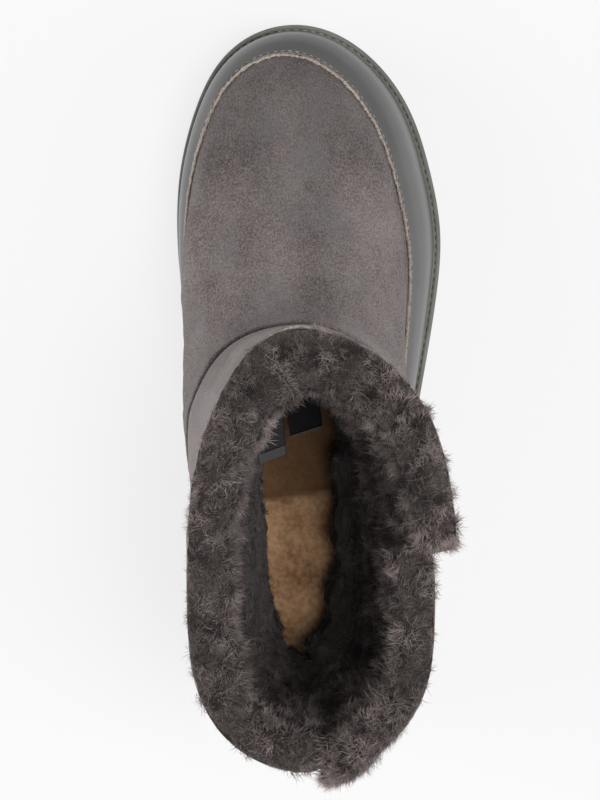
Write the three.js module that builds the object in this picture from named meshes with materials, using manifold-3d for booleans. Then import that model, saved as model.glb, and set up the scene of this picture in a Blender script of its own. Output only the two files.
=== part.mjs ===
// A right sheepskin ankle boot, as its maker puts it together: a lugged rubber outsole, a
// stitched welt, a sheepskin insole, a lined upper, a rubberised rand round its foot and a
// lined shaft with two slits.
//
// Frame: millimetres, +Z up, +Y towards the toe, +X towards the outer (lateral) side.
// The floor is z = 0 and the origin is the middle of the boot's own box.
//
// Every form comes from one surface, last(s, t). s runs once round the boot, from the heel
// (0) along the inner side to the toe (0.5) and back along the outer side. t climbs from the
// feather line on the welt (0) to the collar, one unit for each row of SECTIONS.

import * as THREE from 'three';
import { mergeVertices } from 'three/addons/utils/BufferGeometryUtils.js';
import Module from 'manifold-3d';

const manifold = await Module();
manifold.setup();

// ---------------------------------------------------------------- driving dimensions

const SOLE_LENGTH = 276.5;
const BALL_MEDIAL = 50;
const BALL_LATERAL = 57.2;
const HEEL_HEIGHT = 20;
const BALL_HEIGHT = 15;
const TOE_HEIGHT = 14;
const TOE_SPRING = 8;
const SPRING_START = 205;
const ARCH_LIFT = 3;
const ARCH_START = 82;
const ARCH_END = 146;
const WELT_THICK = 3;
const WELT_EDGE = 2.4;
const WELT_ROUND = 0.6;
const RAND_THICK = 1.8;
const WALL = 12;
const INSOLE_PROUD = 7;
const INSOLE_ROUND = 2;
const FIT_GAP = 0.3;
const INSOLE_GAP = 0.8;
const TOE_LEAN = -1.2;

const LUG_DEPTH = 3;
const LUG_BORDER = 7;
const GROOVE_WIDTH = 4;
const GROOVE_PITCH = 13;
const GROOVE_CHEVRON = 9;
const HEEL_GROOVES = { from: 18, to: ARCH_START - 6 };
const FOREFOOT_GROOVES = { from: ARCH_END + 8, to: SOLE_LENGTH - 10 };

// The outsole's side wall: how far in from the rim it stands at each share of its height.
const SIDE_WALL = [
  { height: 0.00, inset: 3.2 },
  { height: 0.16, inset: 1.4 },
  { height: 0.50, inset: 0.9 },
  { height: 0.80, inset: 0.2 },
  { height: 1.00, inset: 0.0 },
];

const COLUMNS = 64;
const ROW_STEP = 0.5;
const SEAM_GAP = 0.02;
const SPINE_END = 12;

// How full the plan outline is along the foot, from heel (v = 0) to toe (v = 1), against a
// plain ellipse of the same length and half-width. collar is the shaft's own outline.
const FULLNESS = [
  { v: 0.00, medial: 1.36, lateral: 1.22, collar: 1.33 },
  { v: 0.08, medial: 1.14, lateral: 1.05, collar: 1.28 },
  { v: 0.16, medial: 0.965, lateral: 0.89, collar: 1.21 },
  { v: 0.27, medial: 0.79, lateral: 0.78, collar: 1.105 },
  { v: 0.40, medial: 0.75, lateral: 0.80, collar: 1.02 },
  { v: 0.50, medial: 0.835, lateral: 0.88, collar: 0.99 },
  { v: 0.60, medial: 0.965, lateral: 0.988, collar: 0.985 },
  { v: 0.70, medial: 1.077, lateral: 1.098, collar: 0.98 },
  { v: 0.80, medial: 1.18, lateral: 1.160, collar: 0.965 },
  { v: 0.90, medial: 1.288, lateral: 1.240, collar: 0.945 },
  { v: 1.00, medial: 1.50, lateral: 1.27, collar: 0.93 },
];

// Sections of the last above the feather line. rear and front are where a section crosses
// the heel and the ridge of the foot, medial and lateral its half-widths, turnRear,
// turnMedial and turnLateral how far its shape has turned from the foot's outline (0) to the
// collar's (1) behind and towards the front of each side, lean how far its front leans to
// one side, and the last three its heights.
const SECTIONS = [
  { name: 'bulge', rear: 2.4, front: 269.4, medial: 46.8, lateral: 49.8, lean: -2.4,
    turnRear: 0.10, turnMedial: 0.10, turnLateral: 0.05, rearZ: 34, sideZ: 29.5, frontZ: 33 },
  { name: 'rand top', rear: 2.6, front: 261.3, medial: 44.6, lateral: 45.0, lean: -5.0,
    turnRear: 0.20, turnMedial: 0.33, turnLateral: 0.05, rearZ: 46, sideZ: 40, frontZ: 42 },
  { name: 'toe box', rear: 3.0, front: 240, medial: 45.0, lateral: 42.6, lean: -5.0,
    turnRear: 0.35, turnMedial: 0.12, turnLateral: 0.05, rearZ: 55, sideZ: 48, frontZ: 52 },
  { name: 'ball', rear: 3.4, front: 205, medial: 44.8, lateral: 41.2, lean: -3.5,
    turnRear: 0.50, turnMedial: 0.0, turnLateral: 0.0, rearZ: 63.5, sideZ: 56.5, frontZ: 60.5 },
  { name: 'instep', rear: 3.7, front: 172, medial: 44.8, lateral: 40.8, lean: -1.5,
    turnRear: 0.60, turnMedial: 0.0, turnLateral: 0.0, rearZ: 72, sideZ: 65.5, frontZ: 76 },
  { name: 'throat', rear: 3.6, front: 154, medial: 44.3, lateral: 40.8, lean: -0.6,
    turnRear: 0.75, turnMedial: 0.0, turnLateral: 0.0, rearZ: 81, sideZ: 75, frontZ: 95 },
  { name: 'ankle', rear: 2.4, front: 152, medial: 43.0, lateral: 41.2, lean: -0.6,
    turnRear: 0.85, turnMedial: 0.45, turnLateral: 0.45, rearZ: 104, sideZ: 99, frontZ: 114 },
  { name: 'shaft', rear: 0.2, front: 151.2, medial: 41.4, lateral: 42.4, lean: -0.6,
    turnRear: 0.95, turnMedial: 0.85, turnLateral: 0.8, rearZ: 130, sideZ: 126, frontZ: 134 },
  { name: 'collar', rear: -2, front: 150.8, medial: 40.8, lateral: 44.2, lean: -0.6,
    turnRear: 1, turnMedial: 1, turnLateral: 1, rearZ: 157, sideZ: 154, frontZ: 155 },
];

const T_RAND_TOP = 2;
const T_INSTEP = 5;
const T_THROAT = 6;
const T_ANKLE = 7;
const T_COLLAR = 9;

// The two slits in the shaft: s and bottomZ are their place round the boot and their foot,
// half the space kept for them between two columns. The panel before each one stands away
// by flare at the collar, from riseZ upwards and from fadeFrom to fadeTo along s.
const SLITS = {
  lateral: { s: 0.754, half: 0.004, bottomZ: 112, riseZ: 98, flare: 8.4, fadeFrom: 0.53, fadeTo: 0.67 },
  back: { s: 0.9875, half: 0.0042, bottomZ: 118, riseZ: 108, flare: 5, fadeFrom: 0.92, fadeTo: 0.98 },
};
const SLIT_TOP_WIDTH = 4;
const SLIT_BOTTOM_WIDTH = 1.2;

// ---------------------------------------------------------------- small mathematics

const smooth = (edge0, edge1, x) => THREE.MathUtils.smoothstep(x, edge0, edge1);

/** Second derivatives of the natural cubic spline through values at knots. */
function splineCurvatures(knots, values) {
  const last = knots.length - 1;
  const curvature = new Array(last + 1).fill(0);
  const sweep = new Array(last + 1).fill(0);
  for (let i = 1; i < last; i += 1) {
    const share = (knots[i] - knots[i - 1]) / (knots[i + 1] - knots[i - 1]);
    const pivot = share * curvature[i - 1] + 2;
    curvature[i] = (share - 1) / pivot;
    const after = (values[i + 1] - values[i]) / (knots[i + 1] - knots[i]);
    const before = (values[i] - values[i - 1]) / (knots[i] - knots[i - 1]);
    sweep[i] = (6 * (after - before) / (knots[i + 1] - knots[i - 1]) - share * sweep[i - 1]) / pivot;
  }
  curvature[last] = 0;
  for (let i = last - 1; i >= 0; i -= 1) {
    curvature[i] = curvature[i] * curvature[i + 1] + sweep[i];
  }
  return curvature;
}

/** Natural cubic spline through values at knots, as a function. */
function spline(knots, values) {
  const curvature = splineCurvatures(knots, values);
  return (x) => {
    let i = 0;
    while (i < knots.length - 2 && x > knots[i + 1]) {
      i += 1;
    }
    const width = knots[i + 1] - knots[i];
    const a = (knots[i + 1] - x) / width;
    const b = 1 - a;
    const bend = (a ** 3 - a) * curvature[i] + (b ** 3 - b) * curvature[i + 1];
    return a * values[i] + b * values[i + 1] + bend * width * width / 6;
  };
}

const fullnessColumn = (name) => spline(FULLNESS.map((row) => row.v), FULLNESS.map((row) => row[name]));
const fullness = {
  medial: fullnessColumn('medial'),
  lateral: fullnessColumn('lateral'),
  collar: fullnessColumn('collar'),
};

// ---------------------------------------------------------------- heights along the sole

/** Height of the tread line: flat under heel and ball, rising to the toe. */
function treadLine(y) {
  const run = Math.max(0, (y - SPRING_START) / (SOLE_LENGTH - SPRING_START));
  return TOE_SPRING * run * run;
}

/** Height of the hollow under the waist of the sole. */
function archLift(y) {
  const middle = (ARCH_START + ARCH_END) / 2;
  return ARCH_LIFT * smooth(ARCH_START, middle, y) * (1 - smooth(middle, ARCH_END, y));
}

/** Top of the welt, on which the upper stands. */
function weltTop(y) {
  const waist = THREE.MathUtils.lerp(HEEL_HEIGHT, BALL_HEIGHT, smooth(60, 190, y));
  const thickness = THREE.MathUtils.lerp(waist, TOE_HEIGHT, smooth(190, 270, y));
  return treadLine(y) + thickness;
}

// ---------------------------------------------------------------- the last's surface

/** Plan position of a section at s. */
function sectionPlan(section, s) {
  const v = (1 - Math.cos(2 * Math.PI * s)) / 2;
  const isMedial = THREE.MathUtils.euclideanModulo(s, 1) < 0.5;
  const side = isMedial ? 'medial' : 'lateral';
  const turnFront = isMedial ? section.turnMedial : section.turnLateral;
  const turn = THREE.MathUtils.lerp(section.turnRear, turnFront, smooth(0.45, 0.7, v));
  const full = THREE.MathUtils.lerp(fullness[side](v), fullness.collar(v), turn);
  const half = Math.abs(Math.sin(2 * Math.PI * s)) * full * section[side];
  const x = (isMedial ? -half : half) + section.lean * v * v;
  return { x, y: section.rear + (section.front - section.rear) * v, v };
}

/** A point of a section, with its height running smoothly from heel to side to front. */
function sectionPoint(section, s) {
  const { x, y, v } = sectionPlan(section, s);
  const middle = 2 * section.sideZ - (section.rearZ + section.frontZ) / 2;
  const z = section.rearZ * (1 - v) ** 2 + 2 * middle * v * (1 - v) + section.frontZ * v * v;
  return new THREE.Vector3(x, y, z);
}

const RIM = {
  rear: 0, front: SOLE_LENGTH, medial: BALL_MEDIAL, lateral: BALL_LATERAL,
  turnRear: 0, turnMedial: 0, turnLateral: 0, lean: TOE_LEAN,
};

/** The sole's outline at s, moved inwards by inset, at height(y). */
function rimPoint(s, inset, height) {
  const step = 1e-4;
  const at = sectionPlan(RIM, s);
  const before = sectionPlan(RIM, s - step);
  const after = sectionPlan(RIM, s + step);
  const along = new THREE.Vector2(after.x - before.x, after.y - before.y).normalize();
  const x = at.x + along.y * inset;
  const y = at.y - along.x * inset;
  return new THREE.Vector3(x, y, height(y));
}

/** The feather line, where the upper meets the welt. */
function featherPoint(s) {
  const inset = WELT_EDGE + RAND_THICK + FIT_GAP;
  return rimPoint(s, inset, (y) => weltTop(y) + FIT_GAP);
}

/** A function of t for the last's surface above one place s of the outline. */
function lastColumn(s) {
  const points = [featherPoint(s), ...SECTIONS.map((row) => sectionPoint(row, s))];
  const knots = points.map((_, i) => i);
  const [x, y, z] = ['x', 'y', 'z'].map((axis) => spline(knots, points.map((p) => p[axis])));
  return (t) => new THREE.Vector3(x(t), y(t), z(t));
}

/** How far the free panel before a slit stands away at s and height z. */
function flareBeside(slit, s, z) {
  if (s < slit.fadeFrom || s > slit.s) {
    return 0;
  }
  const top = SECTIONS[SECTIONS.length - 1].sideZ;
  return slit.flare * smooth(slit.riseZ, top, z) * smooth(slit.fadeFrom, slit.fadeTo, s);
}

/** How far the shaft's free panels stand away at s and height z. */
const flare = (s, z) => flareBeside(SLITS.lateral, s, z) + flareBeside(SLITS.back, s, z);

/**
 * One column of the last's surface at s, as a function of t and of an offset along the
 * outward normal. Near the feather line the offset is level, so that a wall stands flat on
 * the welt.
 */
function wallColumn(s) {
  const step = 2e-3;
  const here = lastColumn(s);
  const before = lastColumn(s - step);
  const after = lastColumn(s + step);
  return (t, offset) => {
    const point = here(t);
    const round = after(t).sub(before(t));
    const up = here(Math.min(T_COLLAR, t + step)).sub(here(Math.max(0, t - step)));
    const normal = up.cross(round).normalize();
    const tilt = smooth(0, 1.5, t);
    normal.z *= tilt;
    normal.normalize();
    const moved = point.clone().addScaledVector(normal, offset);
    moved.z += (1 - tilt) * (weltTop(moved.y) - weltTop(point.y));
    const level = new THREE.Vector3(normal.x, normal.y, 0).normalize();
    return moved.addScaledVector(level, flare(s, point.z));
  };
}

/** The places round the boot where columns stand: evenly spread, with a pair at each slit. */
function columnPlaces() {
  const even = Array.from({ length: COLUMNS }, (_, i) => i / COLUMNS);
  const pairs = Object.values(SLITS).flatMap((slit) => [slit.s - slit.half, slit.s + slit.half]);
  const clear = even.filter((s) => pairs.every((place) => Math.abs(s - place) > 0.25 / COLUMNS));
  return [...clear, ...pairs].sort((a, b) => a - b);
}

const PLACES = columnPlaces();
const WALL_COLUMNS = PLACES.map(wallColumn);

/** A ring of the last's surface at t, offset along its normal. */
const wallRing = (t, offset) => WALL_COLUMNS.map((column) => column(t, offset));

/** Steps of t from one seam to another, on the same levels in every piece. */
function rowsBetween(from, to) {
  const first = Math.floor(from / ROW_STEP) + 1;
  const last = Math.ceil(to / ROW_STEP) - 1;
  const levels = Array.from({ length: last - first + 1 }, (_, i) => (first + i) * ROW_STEP);
  return [from, ...levels, to];
}

// ---------------------------------------------------------------- solids

/** Two triangles between neighbouring rings at column i. */
function bandFaces(lower, upper, count, faces) {
  for (let i = 0; i < count; i += 1) {
    const j = (i + 1) % count;
    faces.push(lower + i, upper + i, upper + j, lower + i, upper + j, lower + j);
  }
}

/** A fan that closes a ring towards its middle point. */
function capFaces(points, ring, count, facesUp, faces) {
  const sum = points.slice(ring, ring + count).reduce((all, p) => all.add(p), new THREE.Vector3());
  const middle = points.push(sum.divideScalar(count)) - 1;
  for (let i = 0; i < count; i += 1) {
    const j = (i + 1) % count;
    faces.push(middle, ring + (facesUp ? j : i), ring + (facesUp ? i : j));
  }
}

/** An indexed geometry from points and faces. */
function indexedGeometry(points, faces) {
  const geometry = new THREE.BufferGeometry().setFromPoints(points);
  geometry.setIndex(faces);
  return geometry;
}

/** A tube-like solid through rings that follow each other and close on the first. */
function hollowSolid(rings) {
  const count = rings[0].length;
  const faces = [];
  rings.forEach((_, k) => bandFaces(k * count, ((k + 1) % rings.length) * count, count, faces));
  return indexedGeometry(rings.flat(), faces);
}

/** A solid through rings from bottom to top, with both ends closed by fans. */
function cappedSolid(rings) {
  const count = rings[0].length;
  const points = rings.flat();
  const faces = [];
  for (let k = 0; k < rings.length - 1; k += 1) {
    bandFaces(k * count, (k + 1) * count, count, faces);
  }
  capFaces(points, 0, count, false, faces);
  capFaces(points, (rings.length - 1) * count, count, true, faces);
  return indexedGeometry(points, faces);
}

/** Triangles between an edge and a spine, both running from heel to toe. */
function zipFaces(points, edge, spine, push) {
  let i = 0;
  let j = 0;
  while (i < edge.length - 1 || j < spine.length - 1) {
    const nextEdge = i < edge.length - 1 ? points[edge[i + 1]].y : Infinity;
    const nextSpine = j < spine.length - 1 ? points[spine[j + 1]].y : Infinity;
    if (nextEdge <= nextSpine) {
      push(edge[i], edge[i + 1], spine[j]);
      i += 1;
    } else {
      push(edge[i], spine[j + 1], spine[j]);
      j += 1;
    }
  }
}

/** Closes a long ring by a spine of points on height(y), so that the face keeps its curve. */
function spineFaces(points, faces, base, count, height, facesUp) {
  const ring = points.slice(base, base + count);
  const toe = ring.reduce((best, p, i) => (p.y > ring[best].y ? i : best), 0);
  const medial = Array.from({ length: toe + 1 }, (_, i) => base + i);
  const lateral = Array.from({ length: count - toe + 1 }, (_, i) => base + ((count - i) % count));
  const clamped = (i) => THREE.MathUtils.clamp(points[i].y, ring[0].y + SPINE_END, ring[toe].y - SPINE_END);
  const stations = [...new Set(medial.map(clamped))].sort((a, b) => a - b);
  const spine = stations.map((y) => points.push(new THREE.Vector3(0, y, height(y))) - 1);
  const pushWhen = (keeps) => (a, b, c) => faces.push(...(keeps ? [a, b, c] : [a, c, b]));
  zipFaces(points, medial, spine, pushWhen(!facesUp));
  zipFaces(points, lateral, spine, pushWhen(facesUp));
}

/** A long low solid through rings, its ends closed on bottom(y) and top(y). */
function footSolid(rings, bottom, top) {
  const count = rings[0].length;
  const points = rings.flat();
  const faces = [];
  for (let k = 0; k < rings.length - 1; k += 1) {
    bandFaces(k * count, (k + 1) * count, count, faces);
  }
  spineFaces(points, faces, 0, count, bottom, false);
  spineFaces(points, faces, (rings.length - 1) * count, count, top, true);
  return indexedGeometry(points, faces);
}

/** A hollow wall of the last between two seams. */
function wallSolid(tFrom, tTo, outside, inside) {
  const rows = rowsBetween(tFrom, tTo);
  const outer = rows.map((t) => wallRing(t, outside));
  const inner = rows.map((t) => wallRing(t, inside)).reverse();
  return hollowSolid([...outer, ...inner]);
}

/** A three.js geometry as a solid for cutting and joining. */
function toSolid(geometry) {
  const bare = geometry.clone();
  bare.deleteAttribute('normal');
  bare.deleteAttribute('uv');
  const merged = mergeVertices(bare, 1e-4);
  return new manifold.Manifold(new manifold.Mesh({
    numProp: 3,
    vertProperties: new Float32Array(merged.attributes.position.array),
    triVerts: new Uint32Array(merged.index.array),
  }));
}

/** A cut or joined solid as a three.js geometry. */
function fromSolid(solid) {
  const mesh = solid.getMesh();
  const geometry = new THREE.BufferGeometry();
  geometry.setAttribute('position', new THREE.BufferAttribute(mesh.vertProperties, 3));
  geometry.setIndex(new THREE.BufferAttribute(mesh.triVerts, 1));
  return geometry;
}

// ---------------------------------------------------------------- outsole

/** Ring of the sole's outline at one inset, at height(y). */
const rimRing = (inset, height) => PLACES.map((s) => rimPoint(s, inset, height));

/** The outsole's block: drafted side walls and a tread that lifts at arch and toe. */
function outsoleBlock() {
  const tread = (y) => treadLine(y) + archLift(y);
  const top = (y) => weltTop(y) - WELT_THICK - FIT_GAP;
  const rings = SIDE_WALL.map((row) => (
    rimRing(row.inset, (y) => THREE.MathUtils.lerp(tread(y), top(y), row.height))
  ));
  return footSolid(rings, tread, top);
}

/** One chevron-shaped groove cutter across the tread at y, deep enough to start below it. */
function grooveCutter(y) {
  const below = 2;
  const reach = BALL_LATERAL + 2 * LUG_BORDER;
  const half = GROOVE_WIDTH / 2;
  const shape = new THREE.Shape([
    new THREE.Vector2(-reach, -GROOVE_CHEVRON - half),
    new THREE.Vector2(0, -half),
    new THREE.Vector2(reach, -GROOVE_CHEVRON - half),
    new THREE.Vector2(reach, -GROOVE_CHEVRON + half),
    new THREE.Vector2(0, half),
    new THREE.Vector2(-reach, -GROOVE_CHEVRON + half),
  ]);
  const cutter = new THREE.ExtrudeGeometry(shape, { depth: LUG_DEPTH + below, bevelEnabled: false });
  cutter.translate(0, y, treadLine(y) - below);
  return toSolid(cutter);
}

/** The outsole, with chevron grooves inside a plain border under heel and forefoot. */
function outsole() {
  const border = toSolid(cappedSolid([
    rimRing(LUG_BORDER, () => -LUG_DEPTH),
    rimRing(LUG_BORDER, () => HEEL_HEIGHT / 2 + TOE_SPRING),
  ]));
  let block = toSolid(outsoleBlock());
  [HEEL_GROOVES, FOREFOOT_GROOVES].forEach(({ from, to }) => {
    for (let y = from; y <= to; y += GROOVE_PITCH) {
      block = block.subtract(grooveCutter(y).intersect(border));
    }
  });
  return fromSolid(block);
}

// ---------------------------------------------------------------- the other pieces

/** How far in from the rim the hollow of the boot starts at its foot. */
const HOLLOW_INSET = WELT_EDGE + RAND_THICK + FIT_GAP + WALL;

/** The welt: a flat strip all round with a rounded edge, as wide as the wall on top of it. */
function welt() {
  const under = (y) => weltTop(y) - WELT_THICK;
  return hollowSolid([
    rimRing(HOLLOW_INSET, under),
    rimRing(WELT_ROUND, under),
    rimRing(0, (y) => weltTop(y) - WELT_THICK / 2),
    rimRing(WELT_ROUND, weltTop),
    rimRing(HOLLOW_INSET, weltTop),
  ]);
}

/** The insole: it fills the welt and the foot of the hollow, and lies under the toe. */
function insole() {
  const edge = HOLLOW_INSET + FIT_GAP;
  const under = (y) => weltTop(y) - WELT_THICK;
  const top = (y) => weltTop(y) + INSOLE_PROUD;
  const pad = toSolid(footSolid([
    rimRing(edge, under),
    rimRing(edge, (y) => top(y) - INSOLE_ROUND),
    rimRing(edge + INSOLE_ROUND, top),
  ], under, top));
  const rings = rowsBetween(0, T_INSTEP).map((t) => wallRing(t, -WALL - INSOLE_GAP));
  const foot = rings[0].map((p) => p.clone().setZ(0));
  return fromSolid(pad.intersect(toSolid(cappedSolid([foot, ...rings]))));
}

/** The upper: vamp and quarters in one lined wall, open above and underneath. */
const upper = () => wallSolid(0, T_THROAT - SEAM_GAP, 0, -WALL);

/** The rand: a thin band round the foot of the upper. */
const rand = () => wallSolid(0, T_RAND_TOP, FIT_GAP + RAND_THICK, FIT_GAP);

/** A wedge that opens one slit, wide at the collar, where it runs out over the top. */
function slitCutter(slit) {
  const column = wallColumn(slit.s);
  const foot = column(T_ANKLE, 0);
  const top = column(T_COLLAR, 0);
  const outward = new THREE.Vector3().subVectors(column(T_COLLAR, WALL), top).setZ(0).normalize();
  const height = top.z - slit.bottomZ + WALL;
  const shape = new THREE.Shape([
    new THREE.Vector2(-SLIT_BOTTOM_WIDTH / 2, 0),
    new THREE.Vector2(SLIT_BOTTOM_WIDTH / 2, 0),
    new THREE.Vector2(SLIT_TOP_WIDTH / 2, height),
    new THREE.Vector2(-SLIT_TOP_WIDTH / 2, height),
  ]);
  const reach = 3 * WALL;
  const cutter = new THREE.ExtrudeGeometry(shape, { depth: 2 * reach, bevelEnabled: false });
  cutter.translate(0, 0, -reach);
  const up = new THREE.Vector3(0, 0, 1);
  const across = new THREE.Vector3().crossVectors(up, outward);
  const middle = new THREE.Vector3().lerpVectors(foot, top, 0.7).setZ(slit.bottomZ);
  cutter.applyMatrix4(new THREE.Matrix4().makeBasis(across, up, outward).setPosition(middle));
  return toSolid(cutter);
}

/** The shaft: one lined wall from throat to collar, with a slit outside and one behind. */
function shaft() {
  const wall = toSolid(wallSolid(T_THROAT + SEAM_GAP, T_COLLAR, 0, -WALL));
  return fromSolid(Object.values(SLITS).reduce((rest, slit) => rest.subtract(slitCutter(slit)), wall));
}

// ---------------------------------------------------------------- assembly

const rubber = new THREE.MeshStandardMaterial({ color: 0x4a4a47, roughness: 0.8, metalness: 0 });
const weltRubber = new THREE.MeshStandardMaterial({ color: 0x57564f, roughness: 0.75, metalness: 0 });
const randLeather = new THREE.MeshStandardMaterial({ color: 0x6d6c6a, roughness: 0.55, metalness: 0 });
const suede = new THREE.MeshStandardMaterial({ color: 0x6f6665, roughness: 0.95, metalness: 0 });
const shaftSuede = new THREE.MeshStandardMaterial({ color: 0x746b69, roughness: 0.95, metalness: 0 });
const fleece = new THREE.MeshStandardMaterial({ color: 0x9a7048, roughness: 1, metalness: 0 });

const PIECES = [
  ['outsole', outsole, rubber],
  ['welt', welt, weltRubber],
  ['insole', insole, fleece],
  ['upper', upper, suede],
  ['rand', rand, randLeather],
  ['shaft', shaft, shaftSuede],
];

const boot = new THREE.Group();
PIECES.forEach(([name, build, material]) => {
  const mesh = new THREE.Mesh(build(), material);
  mesh.name = name;
  boot.add(mesh);
});

const box = new THREE.Box3().setFromObject(boot, true);
const centre = box.getCenter(new THREE.Vector3());
boot.position.set(-centre.x, -centre.y, -box.min.z);
boot.updateMatrixWorld(true);

export default boot;
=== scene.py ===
"""Looks of a right sheepskin ankle boot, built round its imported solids.

Every form comes from one surface, the last: s runs once round the boot from the heel along
the inner side to the toe (0.5) and back along the outer side, and t climbs from the feather
line on the welt (0) to the collar (9). The last works in millimetres, with the heel at
y = 0 and the floor at z = 0, and Bench.place brings its points to the shared frame in metres.
"""

import logging
import math
from dataclasses import dataclass, field
from enum import Enum
from typing import Callable, Sequence

import bmesh
import bpy
import numpy as np
from bpy.types import Collection, Material, Mesh, Node, NodeSocket, NodeTree, Object
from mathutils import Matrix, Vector


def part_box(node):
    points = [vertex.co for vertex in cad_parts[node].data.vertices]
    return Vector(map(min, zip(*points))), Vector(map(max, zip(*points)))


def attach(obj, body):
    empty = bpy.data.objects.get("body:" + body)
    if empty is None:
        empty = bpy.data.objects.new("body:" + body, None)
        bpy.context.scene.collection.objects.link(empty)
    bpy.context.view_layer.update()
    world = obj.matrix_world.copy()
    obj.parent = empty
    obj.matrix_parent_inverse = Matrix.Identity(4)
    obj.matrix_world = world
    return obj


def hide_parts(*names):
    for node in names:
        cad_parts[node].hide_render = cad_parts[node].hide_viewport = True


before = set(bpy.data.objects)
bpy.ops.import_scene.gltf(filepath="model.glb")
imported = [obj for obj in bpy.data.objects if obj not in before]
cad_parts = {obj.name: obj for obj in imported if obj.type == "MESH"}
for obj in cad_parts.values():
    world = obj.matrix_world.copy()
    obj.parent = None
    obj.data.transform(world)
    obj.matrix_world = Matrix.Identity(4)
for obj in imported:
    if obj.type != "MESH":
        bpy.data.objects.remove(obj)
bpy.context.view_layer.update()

LOG = logging.getLogger("boot")
MM = 0.001
BODY = "root"
WELT_THICK = 3
SHAFT_ROUND_MM = 300.0
SHAFT_LEVEL_MM = 27


class Slot(Enum):
    """Material slots of the record."""

    TREAD = "tread_rubber"
    WELT = "welt_rubber"
    INSOLE = "insole_fleece"
    SUEDE = "suede"
    RAND = "rand_leather"
    SHAFT = "shaft_suede"
    WOOL = "wool"
    CUT_EDGE = "cut_edge"
    THREAD = "thread"
    LABEL = "label"


# ------------------------------------------------------------------ small mathematics


def smooth(low: float, high: float, x: np.ndarray) -> np.ndarray:
    """Smooth step from 0 at low to 1 at high."""
    share = np.clip((x - low) / (high - low), 0, 1)
    return share * share * (3 - 2 * share)


def unit(vectors: np.ndarray) -> np.ndarray:
    """Vectors at length one."""
    length = np.linalg.norm(vectors, axis=-1, keepdims=True)
    return vectors / np.maximum(length, 1e-12)


def places_round(count: int) -> np.ndarray:
    """Places s evenly once round the boot, from the heel."""
    return np.arange(count) / count


def way_to_toe(s: np.ndarray) -> np.ndarray:
    """Share of the way from heel (0) to toe (1) at each place s."""
    return (1 - np.cos(2 * np.pi * s)) / 2


class NaturalSpline:
    """Natural cubic spline through a table of values."""

    def __init__(self, knots: Sequence[float], values: np.ndarray) -> None:
        """Solve for the second derivatives at the knots.

        Args:
            knots: Rising places of the table's rows.
            values: One row of values for each knot, of any further shape.
        """
        self.knots = np.asarray(knots, dtype=float)
        self.values = np.asarray(values, dtype=float)
        count = len(self.knots)
        widths = np.diff(self.knots)
        matrix = np.eye(count)
        right = np.zeros_like(self.values)
        slopes = np.diff(self.values, axis=0) / widths.reshape((-1,) + (1,) * (self.values.ndim - 1))
        for i in range(1, count - 1):
            matrix[i, i - 1:i + 2] = widths[i - 1], 2 * (widths[i - 1] + widths[i]), widths[i]
            right[i] = 6 * (slopes[i] - slopes[i - 1])
        flat = right.reshape(count, -1)
        self.bends = np.linalg.solve(matrix, flat).reshape(self.values.shape)

    def _pieces(self, x: np.ndarray) -> tuple[np.ndarray, ...]:
        """Interval, width and the two weights for each x."""
        i = np.clip(np.searchsorted(self.knots, x, side="right") - 1, 0, len(self.knots) - 2)
        width = self.knots[i + 1] - self.knots[i]
        a = (self.knots[i + 1] - x) / width
        return i, width, a, 1 - a

    def __call__(self, x: np.ndarray) -> np.ndarray:
        """Values at x, for a table of plain numbers."""
        i, width, a, b = self._pieces(np.asarray(x, dtype=float))
        bend = (a**3 - a) * self.bends[i] + (b**3 - b) * self.bends[i + 1]
        return a * self.values[i] + b * self.values[i + 1] + bend * width**2 / 6

    def along(self, t: np.ndarray) -> np.ndarray:
        """Points at levels t of shape (rows, columns), for a table of shape (knots, columns, 3)."""
        i, width, a, b = self._pieces(t)
        column = np.arange(t.shape[1])[None, :]
        a, b, width = a[..., None], b[..., None], width[..., None]
        bend = (a**3 - a) * self.bends[i, column] + (b**3 - b) * self.bends[i + 1, column]
        return a * self.values[i, column] + b * self.values[i + 1, column] + bend * width**2 / 6


@dataclass(frozen=True)
class Waves:
    """Soft seeded noise in space: a sum of plane waves of about one length."""

    length: float
    seed: int
    count: int = 10

    def __call__(self, points: np.ndarray) -> np.ndarray:
        """Noise of about -1 to 1 at points of shape (..., 3)."""
        rng = np.random.default_rng(self.seed)
        directions = unit(rng.normal(size=(self.count, 3)))
        pitch = 2 * np.pi / (self.length * rng.uniform(0.6, 1.6, self.count))
        phases = rng.uniform(0, 2 * np.pi, self.count)
        waves = np.sin(points @ (directions * pitch[:, None]).T + phases)
        return waves.sum(axis=-1) / math.sqrt(self.count)

    def vector(self, points: np.ndarray) -> np.ndarray:
        """Three independent noises as a vector at each point."""
        return np.stack([Waves(self.length, self.seed + k, self.count)(points) for k in range(3)], -1)


# ------------------------------------------------------------------ the last


@dataclass(frozen=True)
class Section:
    """One section of the last: ends, half-widths, lean, turns to the collar's shape, heights."""

    rear: float
    front: float
    medial: float
    lateral: float
    lean: float
    turn_rear: float = 0
    turn_medial: float = 0
    turn_lateral: float = 0
    rear_z: float = 0
    side_z: float = 0
    front_z: float = 0


@dataclass(frozen=True)
class Slit:
    """A slit in the shaft: its place, its depth and how far the panel before it stands away."""

    s: float
    bottom_z: float
    rise_z: float
    flare: float
    fade_from: float
    fade_to: float


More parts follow.
